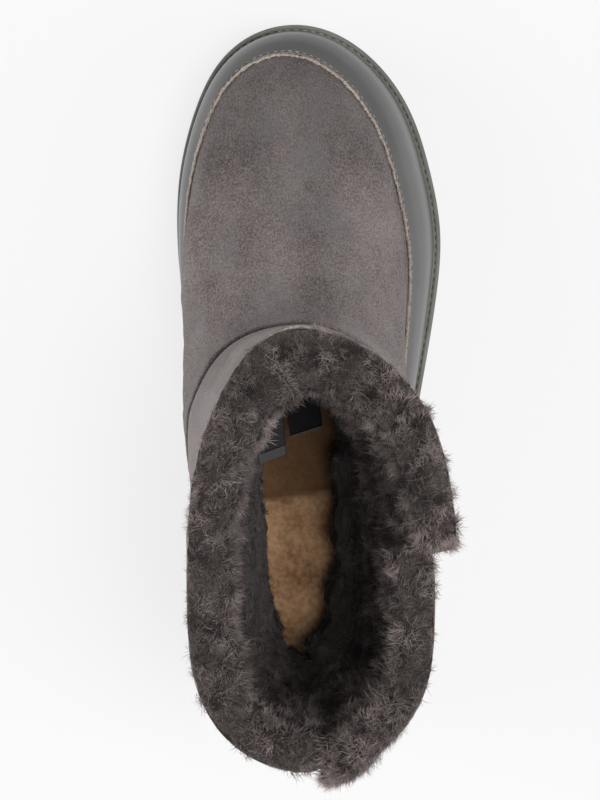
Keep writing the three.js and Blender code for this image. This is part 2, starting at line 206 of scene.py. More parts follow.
@dataclass
class Last:
    """The boot's surface, in millimetres."""

    sole_length: float = 276.5
    heel_height: float = 20
    ball_height: float = 15
    toe_height: float = 14
    toe_spring: float = 8
    spring_start: float = 205
    waist_from: float = 60
    ball_from: float = 190
    toe_from: float = 270
    feather_inset: float = 4.5
    feather_lift: float = 0.3
    rim: Section = Section(0, 276.5, 50, 57.2, -1.2)
    fullness: tuple[tuple[float, float, float, float], ...] = (
        (0.00, 1.36, 1.22, 1.33),
        (0.08, 1.14, 1.05, 1.28),
        (0.16, 0.965, 0.89, 1.21),
        (0.27, 0.79, 0.78, 1.105),
        (0.40, 0.75, 0.80, 1.02),
        (0.50, 0.835, 0.88, 0.99),
        (0.60, 0.965, 0.988, 0.985),
        (0.70, 1.077, 1.098, 0.98),
        (0.80, 1.18, 1.160, 0.965),
        (0.90, 1.288, 1.240, 0.945),
        (1.00, 1.50, 1.27, 0.93),
    )
    sections: tuple[Section, ...] = (
        Section(2.4, 269.4, 46.8, 49.8, -2.4, 0.10, 0.10, 0.05, 34, 29.5, 33),
        Section(2.6, 261.3, 44.6, 45.0, -5.0, 0.20, 0.33, 0.05, 46, 40, 42),
        Section(3.0, 240, 45.0, 42.6, -5.0, 0.35, 0.12, 0.05, 55, 48, 52),
        Section(3.4, 205, 44.8, 41.2, -3.5, 0.50, 0.00, 0.00, 63.5, 56.5, 60.5),
        Section(3.7, 172, 44.8, 40.8, -1.5, 0.60, 0.00, 0.00, 72, 65.5, 76),
        Section(3.6, 154, 44.3, 40.8, -0.6, 0.75, 0.00, 0.00, 81, 75, 95),
        Section(2.4, 152, 43.0, 41.2, -0.6, 0.85, 0.45, 0.45, 104, 99, 114),
        Section(0.2, 151.2, 41.4, 42.4, -0.6, 0.95, 0.85, 0.80, 130, 126, 134),
        Section(-2, 150.8, 40.8, 44.2, -0.6, 1.00, 1.00, 1.00, 157, 154, 155),
    )
    side_slit: Slit = Slit(0.754, 112, 98, 8.4, 0.53, 0.67)
    back_slit: Slit = Slit(0.9875, 118, 108, 5.0, 0.92, 0.98)
    rand_top: float = 2
    throat: float = 6
    collar: float = 9

    def __post_init__(self) -> None:
        """Prepare the outline's fullness curves."""
        table = np.array(self.fullness)
        self._full = [NaturalSpline(table[:, 0], table[:, k]) for k in (1, 2, 3)]

    def tread_line(self, y: np.ndarray) -> np.ndarray:
        """Height of the tread: flat under heel and ball, rising to the toe."""
        run = np.maximum(0, (y - self.spring_start) / (self.sole_length - self.spring_start))
        return self.toe_spring * run * run

    def welt_top(self, y: np.ndarray) -> np.ndarray:
        """Height of the welt's top along the foot."""
        share = smooth(self.waist_from, self.ball_from, y)
        waist = self.heel_height + (self.ball_height - self.heel_height) * share
        thick = waist + (self.toe_height - waist) * smooth(self.ball_from, self.toe_from, y)
        return self.tread_line(y) + thick

    def plan(self, section: Section, s: np.ndarray) -> tuple[np.ndarray, np.ndarray, np.ndarray]:
        """Plan position of a section: x, y and the share v of the way from heel to toe."""
        v = way_to_toe(s)
        medial = np.mod(s, 1) < 0.5
        side = np.where(medial, self._full[0](v), self._full[1](v))
        ahead = np.where(medial, section.turn_medial, section.turn_lateral)
        turn = section.turn_rear + (ahead - section.turn_rear) * smooth(0.45, 0.7, v)
        full = side + (self._full[2](v) - side) * turn
        half = np.abs(np.sin(2 * np.pi * s)) * full * np.where(medial, section.medial, section.lateral)
        x = np.where(medial, -half, half) + section.lean * v * v
        return x, section.rear + (section.front - section.rear) * v, v

    def section_points(self, section: Section, s: np.ndarray) -> np.ndarray:
        """Points of a section, its height running smoothly from heel to side to front."""
        x, y, v = self.plan(section, s)
        middle = 2 * section.side_z - (section.rear_z + section.front_z) / 2
        z = section.rear_z * (1 - v) ** 2 + 2 * middle * v * (1 - v) + section.front_z * v * v
        return np.stack([x, y, z], axis=-1)

    def rim_points(self, s: np.ndarray, inset: float, lift: float = 0) -> np.ndarray:
        """The sole's outline moved inwards by inset, at lift above the welt's top."""
        step = 1e-4
        x, y, _ = self.plan(self.rim, s)
        ahead, behind = self.plan(self.rim, s + step), self.plan(self.rim, s - step)
        along = unit(np.stack([ahead[0] - behind[0], ahead[1] - behind[1]], axis=-1))
        x = x + along[..., 1] * inset
        y = y - along[..., 0] * inset
        return np.stack([x, y, self.welt_top(y) + lift], axis=-1)

    def _spline(self, s: np.ndarray) -> NaturalSpline:
        """The spline up the surface above each place s."""
        rows = [self.rim_points(s, self.feather_inset, self.feather_lift)]
        rows += [self.section_points(section, s) for section in self.sections]
        return NaturalSpline(range(len(rows)), np.array(rows))

    def flare(self, s: np.ndarray, z: np.ndarray) -> np.ndarray:
        """How far the free panels beside the slits stand away."""
        around = np.mod(s, 1)
        amount = np.zeros_like(z)
        for slit in (self.side_slit, self.back_slit):
            beside = (around > slit.fade_from) & (around < slit.s)
            rise = smooth(slit.rise_z, self.sections[-1].side_z, z)
            amount = amount + beside * slit.flare * rise * smooth(slit.fade_from, slit.fade_to, around)
        return amount

    def surface(self, s: np.ndarray, t: np.ndarray, offset: np.ndarray | float = 0) -> np.ndarray:
        """Points of the surface, moved along its outward normal.

        Args:
            s: Places round the boot, of shape (columns,).
            t: Levels, of shape (rows,) or (rows, columns).
            offset: Distance along the normal, of any shape that spreads over (rows, columns).

        Returns:
            Points of shape (rows, columns, 3).
        """
        levels = np.broadcast_to(t[:, None], (len(t), len(s))) if t.ndim == 1 else t
        step = 2e-3
        here = self._spline(s)
        point = here.along(levels)
        round_ = self._spline(s + step).along(levels) - self._spline(s - step).along(levels)
        reach = np.clip(levels, step, self.collar - step)
        up = here.along(reach + step) - here.along(reach - step)
        normal = unit(np.cross(up, round_))
        tilt = smooth(0, 1.5, levels)
        normal[..., 2] *= tilt
        normal = unit(normal)
        spread = np.broadcast_to(offset, levels.shape)[..., None]
        moved = point + normal * spread
        moved[..., 2] += (1 - tilt) * (self.welt_top(moved[..., 1]) - self.welt_top(point[..., 1]))
        level = unit(normal * (1, 1, 0))
        return moved + level * self.flare(s[None, :], point[..., 2])[..., None]


LAST = Last()


# ------------------------------------------------------------------ meshes and node trees


@dataclass
class Bench:
    """Places pieces in the shared frame and turns grids of points into meshes."""

    shift: np.ndarray = field(default_factory=lambda: np.zeros(3))
    weld: float = 0.002

    def settle(self) -> None:
        """Find where the last's own origin lies in the frame, from the outsole's solid."""
        low, high = (np.array(corner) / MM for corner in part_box("outsole"))
        ring = LAST.rim_points(np.linspace(0, 1, 721), 0)
        middle = (ring.min(axis=0) + ring.max(axis=0)) / 2
        self.shift = (low + high) / 2 - middle
        self.shift[2] = low[2]

    def place(self, points: np.ndarray) -> np.ndarray:
        """Points of the last, in millimetres, as points of the frame, in metres."""
        return (points.reshape(-1, 3) + self.shift) * MM

    def mesh(self, name: str, points: np.ndarray, faces: np.ndarray | list) -> Mesh:
        """A mesh of points in millimetres, its faces turned outwards and shaded smooth.

        Args:
            name: Name of the mesh.
            points: Points of shape (count, 3) or any grid of them.
            faces: Corner indices of each face.

        Returns:
            The new mesh.
        """
        mesh = bpy.data.meshes.new(name)
        rows = faces.tolist() if isinstance(faces, np.ndarray) else faces
        mesh.from_pydata(self.place(points).tolist(), [], rows)
        mesh.validate()
        work = bmesh.new()
        work.from_mesh(mesh)
        bmesh.ops.remove_doubles(work, verts=work.verts, dist=self.weld * MM)
        bmesh.ops.recalc_face_normals(work, faces=work.faces)
        work.to_mesh(mesh)
        work.free()
        mesh.shade_smooth()
        return mesh

    def object(self, name: str, mesh: Mesh, *finishes: Material) -> Object:
        """A scene object of that mesh with those materials."""
        for finish in finishes:
            mesh.materials.append(finish)
        made = bpy.data.objects.new(name, mesh)
        bpy.context.scene.collection.objects.link(made)
        return made

    def deliver(self, piece: Object, slot: Slot, *nodes: str) -> None:
        """Ride a finished piece on the boot and hide the solids that it replaces."""
        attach(piece, BODY)
        if nodes:
            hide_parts(*nodes)
        piece.data.calc_loop_triangles()
        LOG.info("%s: %d triangles", piece.name, len(piece.data.loop_triangles))

    def finish(self, mesh: Mesh, finish: "Finish", slot: Slot, *nodes: str) -> None:
        """Deliver a mesh as a piece of the mesh's own name, in one finish."""
        self.deliver(self.object(mesh.name, mesh, finish.material()), slot, *nodes)


BENCH = Bench()


def grid_faces(rows: int, columns: int, close_rows: bool, close_columns: bool) -> np.ndarray:
    """Quads between neighbours of a grid of points, wrapped round where it closes."""
    r = np.arange(rows if close_rows else rows - 1)[:, None]
    c = np.arange(columns if close_columns else columns - 1)[None, :]
    r, c = np.broadcast_arrays(r, c)
    up, on = (r + 1) % rows, (c + 1) % columns
    quads = np.stack([r * columns + c, r * columns + on, up * columns + on, up * columns + c], -1)
    return quads.reshape(-1, 4)


def slab_caps(rows: int, columns: int) -> np.ndarray:
    """Quads that close both ends of a grid whose rows run up one face and back down the other."""
    k = np.arange(rows // 2 - 1)
    caps = []
    for column in (0, columns - 1):
        near, far = k * columns + column, (rows - 1 - k) * columns + column
        caps.append(np.stack([near, near + columns, far - columns, far], axis=-1))
    return np.concatenate(caps)


def ring_mesh(name: str, points: np.ndarray) -> Mesh:
    """The mesh of a grid that closes both along its rows and round the foot."""
    return BENCH.mesh(name, points, grid_faces(*points.shape[:2], True, True))


def slab_mesh(name: str, points: np.ndarray) -> Mesh:
    """The mesh of a grid that runs up one face and down the other, closed at both ends."""
    rows, columns = points.shape[:2]
    faces = np.concatenate([grid_faces(rows, columns, True, False), slab_caps(rows, columns)])
    return BENCH.mesh(name, points, faces)


def loop_surface(profile: np.ndarray, s: np.ndarray, lumps: Callable | None = None) -> np.ndarray:
    """Points of the last along a closed profile.

    Args:
        profile: Rows of (level, offset), once round the section.
        s: Places round the boot.
        lumps: Extra offset as a function of s, levels and points, or None.

    Returns:
        Points of shape (rows, columns, 3).
    """
    t, offset = profile[:, 0], np.repeat(profile[:, 1:], len(s), axis=1)
    points = LAST.surface(s, t, offset)
    if lumps is None:
        return points
    return LAST.surface(s, t, offset + lumps(s, t, points))


class Tree:
    """A short hand for building a node tree."""

    def __init__(self, tree: NodeTree) -> None:
        """Start from a tree with its nodes cleared."""
        self.tree = tree
        tree.nodes.clear()

    def add(self, kind: str, inputs: dict | None = None, **settings) -> Node:
        """Add a node.

        Args:
            kind: The node's type.
            inputs: Socket name or number to a value or another node's socket.
            settings: Properties of the node.

        Returns:
            The new node.
        """
        node = self.tree.nodes.new(kind)
        for key, value in settings.items():
            setattr(node, key, value)
        for key, value in (inputs or {}).items():
            if isinstance(value, NodeSocket):
                self.tree.links.new(value, node.inputs[key])
            else:
                node.inputs[key].default_value = value
        return node

    def math(self, operation: str, *values: object) -> NodeSocket:
        """The result of a Math node."""
        return self.add("ShaderNodeMath", dict(enumerate(values)), operation=operation).outputs[0]

    def vector(self, operation: str, *values: object) -> NodeSocket:
        """The result of a Vector Math node."""
        return self.add("ShaderNodeVectorMath", dict(enumerate(values)), operation=operation).outputs[0]

    def spread(self, value: object, low: float, high: float, top: float = 1) -> NodeSocket:
        """The value mapped from low and high to 0 and top, and clamped."""
        bounds = dict(enumerate([value, low, high, 0, top]))
        return self.add("ShaderNodeMapRange", bounds, clamp=True).outputs[0]

    def painted(self, name: str) -> NodeSocket:
        """A mesh's attribute as a shader reads it."""
        return self.add("ShaderNodeAttribute", attribute_name=name).outputs["Fac"]

    def named(self, name: str, kind: str = "FLOAT") -> NodeSocket:
        """A mesh's attribute as Geometry Nodes read it."""
        node = self.add("GeometryNodeInputNamedAttribute", {"Name": name}, data_type=kind)
        return node.outputs[0]

    def store(self, geometry: object, name: str, value: object, **kinds: str) -> NodeSocket:
        """The geometry with one more attribute, of the given data_type and domain."""
        inputs = {"Geometry": geometry, "Name": name, "Value": value}
        return self.add("GeometryNodeStoreNamedAttribute", inputs, **kinds).outputs[0]

    def chance(self, low: float, high: float, seed: int) -> NodeSocket:
        """A random number for each instance."""
        inputs = {2: low, 3: high, "Seed": seed}
        return self.add("FunctionNodeRandomValue", inputs, data_type="FLOAT").outputs[1]


Colour = tuple[float, float, float]
Paint = tuple[NodeSocket, NodeSocket]


def blend_colour(tree: Tree, share: object, low: object, high: object) -> NodeSocket:
    """A mix of two colours, given as numbers or sockets."""
    sides = [side if isinstance(side, NodeSocket) else (*side, 1) for side in (low, high)]
    node = tree.add("ShaderNodeMix", {0: share, 6: sides[0], 7: sides[1]}, data_type="RGBA")
    return node.outputs[2]


@dataclass(frozen=True)
class Finish:
    """A finish of one piece. Sizes of its patterns are in millimetres.

    Where a painted shade colour is given, the piece's attribute "pale" runs from that painted shade at 0 to
    the pattern at 1.
    """

    name: str
    low: Colour
    high: Colour
    roughness: float = 0.8
    specular: float = 0.3
    sheen: float = 0.0
    sheen_tint: Colour = (1.0, 1.0, 1.0)
    bump: float = 0.1
    shade_colour: Colour | None = None

    def noise(self, tree: Tree, size: float, detail: float = 3, stretch: Colour = (1, 1, 1)) -> NodeSocket:
        """Noise of that size over the piece, its value around a half."""
        coords = tree.add("ShaderNodeTexCoord").outputs["Object"]
        mapped = tree.add("ShaderNodeMapping", {"Vector": coords, "Scale": stretch}).outputs[0]
        inputs = {"Vector": mapped, "Scale": 1 / (size * MM), "Detail": detail}
        return tree.add("ShaderNodeTexNoise", inputs).outputs[0]

    def paint(self, tree: Tree) -> Paint:
        """The pattern's colour and height."""
        tone = self.noise(tree, 6)
        return blend_colour(tree, tree.spread(tone, 0.35, 0.65), self.low, self.high), tone

    def material(self) -> Material:
        """Build the material."""
        made = bpy.data.materials.new(self.name)
        made.use_nodes = True
        tree = Tree(made.node_tree)
        colour, height = self.paint(tree)
        # painted shade: where the attribute "pale" is low, the colour runs to the painted shade colour
        if self.shade_colour is not None:
            colour = blend_colour(tree, tree.painted("pale"), self.shade_colour, colour)
        relief = tree.add("ShaderNodeBump", {"Strength": self.bump, "Distance": MM, "Height": height})
        shader = tree.add("ShaderNodeBsdfPrincipled", {
            "Base Color": colour,
            "Roughness": self.roughness,
            "Specular IOR Level": self.specular,
            "Sheen Weight": self.sheen,
            "Sheen Tint": (*self.sheen_tint, 1),
            "Normal": relief.outputs[0],
        })
        tree.add("ShaderNodeOutputMaterial", {"Surface": shader.outputs[0]})
        return made


@dataclass(frozen=True)
class Suede(Finish):
    """Napped suede: soft brushed patches, cooler ones among them, small mottles and a short nap."""

    cool: Colour = (0.118, 0.118, 0.117)
    cool_share: float = 0.4
    patch: float = 30
    mottle: float = 5
    nap: float = 0.62

    def paint(self, tree: Tree) -> Paint:
        """Patches and mottles for the colour, the nap for the height."""
        patch = tree.spread(self.noise(tree, self.patch, 2, (1, 0.6, 0.8)), 0.36, 0.64)
        mottle = tree.spread(self.noise(tree, self.mottle, 3), 0.32, 0.68)
        nap = self.noise(tree, self.nap, 3, (1, 0.7, 1))
        speck = tree.spread(nap, 0.37, 0.63)
        tone = tree.math("MULTIPLY_ADD", patch, 0.36, tree.math("MULTIPLY", mottle, 0.12))
        tone = tree.math("MULTIPLY_ADD", speck, 0.52, tone)
        stroke = self.noise(tree, self.patch * 0.7, 2, (1, 0.8, 0.6))
        brushed = tree.spread(stroke, 0.48, 0.66, self.cool_share)
        return blend_colour(tree, brushed, blend_colour(tree, tone, self.low, self.high), self.cool), nap


@dataclass(frozen=True)
class SmoothLeather(Finish):
    """Coated leather: an even colour with faint cloudiness and a very fine grain."""

    def paint(self, tree: Tree) -> Paint:
        """Clouds for the colour, grain for the height."""
        cloud = tree.spread(self.noise(tree, 25, 3), 0.35, 0.65)
        grain = self.noise(tree, 0.9, 3)
        tone = tree.math("MULTIPLY_ADD", cloud, 0.7, tree.math("MULTIPLY", grain, 0.3))
        return blend_colour(tree, tone, self.low, self.high), grain


@dataclass(frozen=True)
class Rubber(Finish):
    """Moulded rubber: matt, with a fine spark-eroded texture and a little dust."""

    def paint(self, tree: Tree) -> Paint:
        """Dust for the colour, fine texture for the height."""
        dust = tree.spread(self.noise(tree, 14, 5), 0.4, 0.7)
        texture = self.noise(tree, 0.5, 2)
        return blend_colour(tree, dust, self.low, self.high), texture


@dataclass(frozen=True)
class Wool(Finish):
    """Wool: dark at the root, partly the wool's own root colour and partly painted shade between the fibres,
    paler at the tip, each lock of its own shade.
    """

    root: Colour = (0.022, 0.017, 0.016)
    patch: float = 16

    def paint(self, tree: Tree) -> Paint:
        """Root to tip, lock by lock, over soft darker and lighter patches."""
        tip, shade = tree.painted("tip"), tree.painted("shade")
        cloud = tree.spread(self.noise(tree, self.patch, 3), 0.35, 0.65)
        tone = tree.math("MULTIPLY_ADD", shade, 0.55, tree.math("MULTIPLY", cloud, 0.45))
        lock = blend_colour(tree, tone, self.low, self.high)
        # dark roots: the wool's own darker root and painted shade between the fibres
        rise = tree.spread(tip, 0.1, 0.95)
        return blend_colour(tree, rise, self.root, lock), self.noise(tree, 0.6, 2)


@dataclass(frozen=True)
class Fleece(Finish):
    """Short fleece seen as a surface: small soft curls over broad patches."""

    patch: float = 15
    curl: float = 2.0

    def paint(self, tree: Tree) -> Paint:
        """Patches and curls for the colour, curls for the height."""
        patch = tree.spread(self.noise(tree, self.patch, 4), 0.36, 0.62)
        curl = self.noise(tree, self.curl, 4)
        fine = tree.spread(curl, 0.36, 0.64)
        tone = tree.math("MULTIPLY_ADD", patch, 0.55, tree.math("MULTIPLY", fine, 0.45))
        return blend_colour(tree, tone, self.low, self.high), curl


@dataclass(frozen=True)
class Weave(Finish):
    """Fine woven label cloth, blank."""

    thread: float = 0.35

    def paint(self, tree: Tree) -> Paint:
        """Crossing threads for the height and a faint change of colour."""
        coords = tree.add("ShaderNodeTexCoord").outputs["Object"]
        settings = {"Vector": coords, "Scale": 1 / (self.thread * 6 * MM)}
        across = tree.add("ShaderNodeTexWave", settings, bands_direction="X").outputs[1]
        along = tree.add("ShaderNodeTexWave", settings, bands_direction="Y").outputs[1]
        height = tree.math("MULTIPLY", across, along)
        return blend_colour(tree, height, self.low, self.high), height


NAP_TINT = (0.80, 0.76, 0.75)
# The shade colours given to SUEDE, FLEECE and CUT_EDGE below are painted shade, used where a piece's "pale"
# is low.
SUEDE = Suede(
    "napped_suede", (0.042, 0.032, 0.031), (0.236, 0.202, 0.199), 0.9, 0.15, 0.2, NAP_TINT, 0.6,
    shade_colour=(0.016, 0.013, 0.013), cool=(0.148, 0.148, 0.146),
)
SHAFT_SUEDE = Suede(
    "shaft_suede", (0.095, 0.079, 0.077), (0.265, 0.230, 0.225), 0.9, 0.15, 0.2, NAP_TINT, 0.6,
    cool=(0.17, 0.168, 0.165),
)
RAND = SmoothLeather("coated_leather", (0.074, 0.075, 0.074), (0.096, 0.096, 0.094), 0.34, 0.55, bump=0.05)
WELT = Rubber("welt_rubber", (0.098, 0.102, 0.092), (0.15, 0.152, 0.136), 0.55, 0.4, bump=0.12)
TREAD = Rubber("tread_rubber", (0.06, 0.06, 0.057), (0.10, 0.098, 0.092), 0.8, 0.3, bump=0.2)
WOOL = Wool(
    "dark_wool", (0.046, 0.037, 0.035), (0.54, 0.444, 0.422), 0.85, 0.15, 0.15, (0.8, 0.75, 0.72), 0.1,
)
WOOL_BASE = Fleece(
    "wool_ground", (0.006, 0.0045, 0.0042), (0.070, 0.055, 0.052), 0.95, 0.1, 0.2, NAP_TINT, 1.0,
    patch=10, curl=0.8,
)
FLEECE = Fleece(
    "honey_fleece", (0.24, 0.12, 0.053), (0.62, 0.378, 0.213), 0.95, 0.1, 0.3, (0.9, 0.75, 0.6), 1.0,
    shade_colour=(0.09, 0.044, 0.02),
)
CUT_EDGE = Suede(
    "cut_edge", (0.17, 0.137, 0.117), (0.47, 0.405, 0.35), 0.95, 0.1, bump=0.6, shade_colour=(0.035, 0.025, 0.021),
    cool_share=0.0, mottle=2, nap=0.6,
)
THREAD = Finish("waxed_thread", (0.20, 0.155, 0.135), (0.36, 0.29, 0.26), 0.7, 0.3)
# A dark painted shade for the floors of the welt's groove and the rand's stitching channel.
CHANNEL_SHADE = Finish("dark_thread", (0.060, 0.047, 0.037), (0.12, 0.098, 0.078), 0.7, 0.3)
LABEL_PALE = Weave("label_grey", (0.020, 0.020, 0.021), (0.042, 0.042, 0.043), 0.8, 0.3)
LABEL_HEM = Weave("label_hem", (0.058, 0.060, 0.058), (0.105, 0.109, 0.105), 0.8, 0.3)
LABEL_DARK = Weave("label_dark", (0.006, 0.006, 0.007), (0.014, 0.014, 0.016), 0.8, 0.15)


# ------------------------------------------------------------------ things several pieces use


def tube(name: str, path: np.ndarray, radius: np.ndarray, closed: bool, sides: int = 8) -> Mesh:
    """A round tube along a path.

    Args:
        name: Name of the mesh.
        path: Points of shape (count, 3), in millimetres.
        radius: Radius at each point.
        closed: Whether the path closes on itself.
        sides: Corners of the section.

    Returns:
        The tube's mesh, closed at its ends.
    """
    if closed:
        along = np.roll(path, -1, axis=0) - np.roll(path, 1, axis=0)
    else:
        along = np.gradient(path, axis=0)
    along = unit(along)
    guide = np.where(np.abs(along[:, 2:]) > 0.8, (1.0, 0.0, 0.0), (0.0, 0.0, 1.0))
    across = unit(np.cross(along, guide))
    over = np.cross(across, along)
    turn = np.linspace(0, 2 * np.pi, sides, endpoint=False)[None, :, None]
    ring = np.cos(turn) * across[:, None] + np.sin(turn) * over[:, None]
    points = path[:, None] + ring * radius[:, None, None]
    faces = grid_faces(len(path), sides, closed, True).tolist()
    if not closed:
        faces += [list(range(sides)), list(range((len(path) - 1) * sides, len(path) * sides))]
    return BENCH.mesh(name, points, faces)


def store(mesh: Mesh, name: str, values: np.ndarray) -> None:
    """Store a number, or a vector where values has rows of three, at each of a mesh's points."""
    flat = np.asarray(values, dtype=np.float32).ravel()
    one = len(flat) == len(mesh.vertices)
    made = mesh.attributes.new(name, "FLOAT" if one else "FLOAT_VECTOR", "POINT")
    made.data.foreach_set("value" if one else "vector", flat)


def store_pale(mesh: Mesh, pale: Callable) -> None:
    """Store how pale a piece is, from the x and y of the last at each of its points."""
    points = np.empty(len(mesh.vertices) * 3)
    mesh.vertices.foreach_get("co", points)
    points = points.reshape(-1, 3) / MM - BENCH.shift
    store(mesh, "pale", np.broadcast_to(pale(points[:, 0], points[:, 1]), len(points)))


def evaluated(piece: Object) -> Mesh:
    """The plain mesh of a piece with its modifiers run; the modifiers are then removed."""
    graph = bpy.context.evaluated_depsgraph_get()
    made = bpy.data.meshes.new_from_object(piece.evaluated_get(graph))
    piece.modifiers.clear()
    return made


def carve(piece: Object, tool: Object, operation: str) -> None:
    """Cut or intersect a piece with a tool, which is then removed."""
    modifier = piece.modifiers.new("carve", "BOOLEAN")
    modifier.operation = operation
    modifier.object = tool
    modifier.solver = "EXACT"
    piece.data = evaluated(piece)
    bpy.data.objects.remove(tool)


def node_group(name: str, sockets: dict[str, str]) -> tuple[Tree, Node, dict[str, str]]:
    """An empty Geometry Nodes tree with named inputs.

    Args:
        name: The tree's name.
        sockets: Name of each input to its socket type.

    Returns:
        The tree, its input node, and each input's identifier.
    """
    group = bpy.data.node_groups.new(name, "GeometryNodeTree")
    face = group.interface
    face.new_socket("Geometry", in_out="INPUT", socket_type="NodeSocketGeometry")
    face.new_socket("Geometry", in_out="OUTPUT", socket_type="NodeSocketGeometry")
    keys = {
        label: face.new_socket(label, in_out="INPUT", socket_type=kind).identifier
        for label, kind in sockets.items()
    }
    tree = Tree(group)
    return tree, tree.add("NodeGroupInput"), keys


def run_nodes(piece: Object, tree: Tree, keys: dict[str, str], values: dict[str, object]) -> None:
    """Run a Geometry Nodes tree on a piece and keep the result as its plain mesh."""
    modifier = piece.modifiers.new("nodes", "NODES")
    modifier.node_group = tree.tree
    for label, value in values.items():
        modifier[keys[label]] = value
    piece.data = evaluated(piece)


@dataclass(frozen=True)
class Seam:
    """A row of stitches along a closed path."""

    name: str
    pitch: float
    length: float
    thick: float

    def sew(self, path: np.ndarray, finish: Material) -> Object:
        """Sew the seam.

        Args:
            path: Points of the closed path, in millimetres.
            finish: The thread's material.

        Returns:
            One piece with every stitch.
        """
        mesh = bpy.data.meshes.new(self.name)
        edges = [(i, (i + 1) % len(path)) for i in range(len(path))]
        mesh.from_pydata(BENCH.place(path).tolist(), edges, [])
        piece = BENCH.object(self.name, mesh)
        tree, source, keys = node_group("stitch_row", {
            "Pitch": "NodeSocketFloat", "Stitch": "NodeSocketVector", "Thread": "NodeSocketMaterial",
        })
        line = tree.add("GeometryNodeMeshToCurve", {"Mesh": source.outputs["Geometry"]})
        steps = tree.add("GeometryNodeCurveToPoints", {
            "Curve": line.outputs[0], "Length": source.outputs["Pitch"],
        }, mode="LENGTH")
        bead = tree.add("GeometryNodeMeshIcoSphere", {"Radius": 1.0, "Subdivisions": 2})
        soft = tree.add("GeometryNodeSetShadeSmooth", {"Geometry": bead.outputs["Mesh"]})
        row = tree.add("GeometryNodeInstanceOnPoints", {
            "Points": steps.outputs["Points"],
            "Instance": soft.outputs[0],
            "Rotation": steps.outputs["Rotation"],
            "Scale": source.outputs["Stitch"],
        })
        solid = tree.add("GeometryNodeRealizeInstances", {"Geometry": row.outputs[0]})
        dressed = tree.add("GeometryNodeSetMaterial", {
            "Geometry": solid.outputs[0], "Material": source.outputs["Thread"],
        })
        tree.add("NodeGroupOutput", {"Geometry": dressed.outputs[0]})
        run_nodes(piece, tree, keys, {
            "Pitch": self.pitch * MM,
            "Stitch": (self.thick * MM / 2, self.thick * MM / 2, self.length * MM / 2),
            "Thread": finish,
        })
        return piece


@dataclass(frozen=True)
class Crease:
    """A soft trough (depth below zero) or ridge placed between two points of the last."""

    start: tuple[float, float]
    end: tuple[float, float]
    depth: float
    width: float

    def relief(self, points: np.ndarray) -> np.ndarray:
        """Offset that the crease gives at points of shape (rows, columns, 3)."""
        steps = np.linspace(0, 1, 16)
        s = self.start[0] + (self.end[0] - self.start[0]) * steps
        t = self.start[1] + (self.end[1] - self.start[1]) * steps
        line = np.array([LAST.surface(s[k:k + 1], t[k:k + 1])[0, 0] for k in range(len(steps))])
        gap = np.linalg.norm(points[:, :, None] - line, axis=-1)
        fade = np.sin(np.pi * (0.08 + 0.84 * steps))
        return self.depth * (fade * np.exp(-(gap / self.width) ** 2)).max(axis=-1)


def creased(relief: np.ndarray, creases: Sequence[Crease], points: np.ndarray) -> np.ndarray:
    """The relief with every crease added to it."""
    for crease in creases:
        relief = relief + crease.relief(points)
    return relief


# ------------------------------------------------------------------ outsole and welt


def ring_faces(rings: int, columns: int) -> list[list[int]]:
    """Faces of an open stack of closed rings."""
    return grid_faces(rings, columns, False, True).tolist()


def foot_cap(ring: np.ndarray, first: int, height: Callable, across: int) -> tuple[np.ndarray, list]:
    """Closes a ring of the foot from side to side.

    Args:
        ring: The ring's points, evenly placed from the heel along the inner side.
        first: Index that the cap's first point will have.
        height: Height of the face as a function of x and y.
        across: Steps from side to side.

    Returns:
        Points of the cap and its faces.
    """
    half = len(ring) // 2
    inner = ring[:half + 1]
    outer = ring[-np.arange(half + 1)]
    share = np.linspace(0, 1, across + 1)[None, :, None]
    points = inner[:, None] + (outer - inner)[:, None] * share
    points[:, 1:-1, 2] = height(points[:, 1:-1, 0], points[:, 1:-1, 1])
    return points.reshape(-1, 3), (grid_faces(half + 1, across + 1, False, False) + first).tolist()


def foot_block(name: str, rings: Sequence[np.ndarray], low: tuple, high: tuple) -> Mesh:
    """A stack of rings of the foot, closed underneath and on top.

    Args:
        name: Name of the mesh.
        rings: Rings from the underside's to the top's.
        low: The underside's height as a function of x and y, and its steps from side to side.
        high: The same for the top.

    Returns:
        The closed mesh.
    """
    side, faces = np.array(rings).reshape(-1, 3), ring_faces(len(rings), len(rings[0]))
    under = foot_cap(rings[0], len(side), *low)
    over = foot_cap(rings[-1], len(side) + len(under[0]), *high)
    return BENCH.mesh(name, np.concatenate([side, under[0], over[0]]), faces + under[1] + over[1])


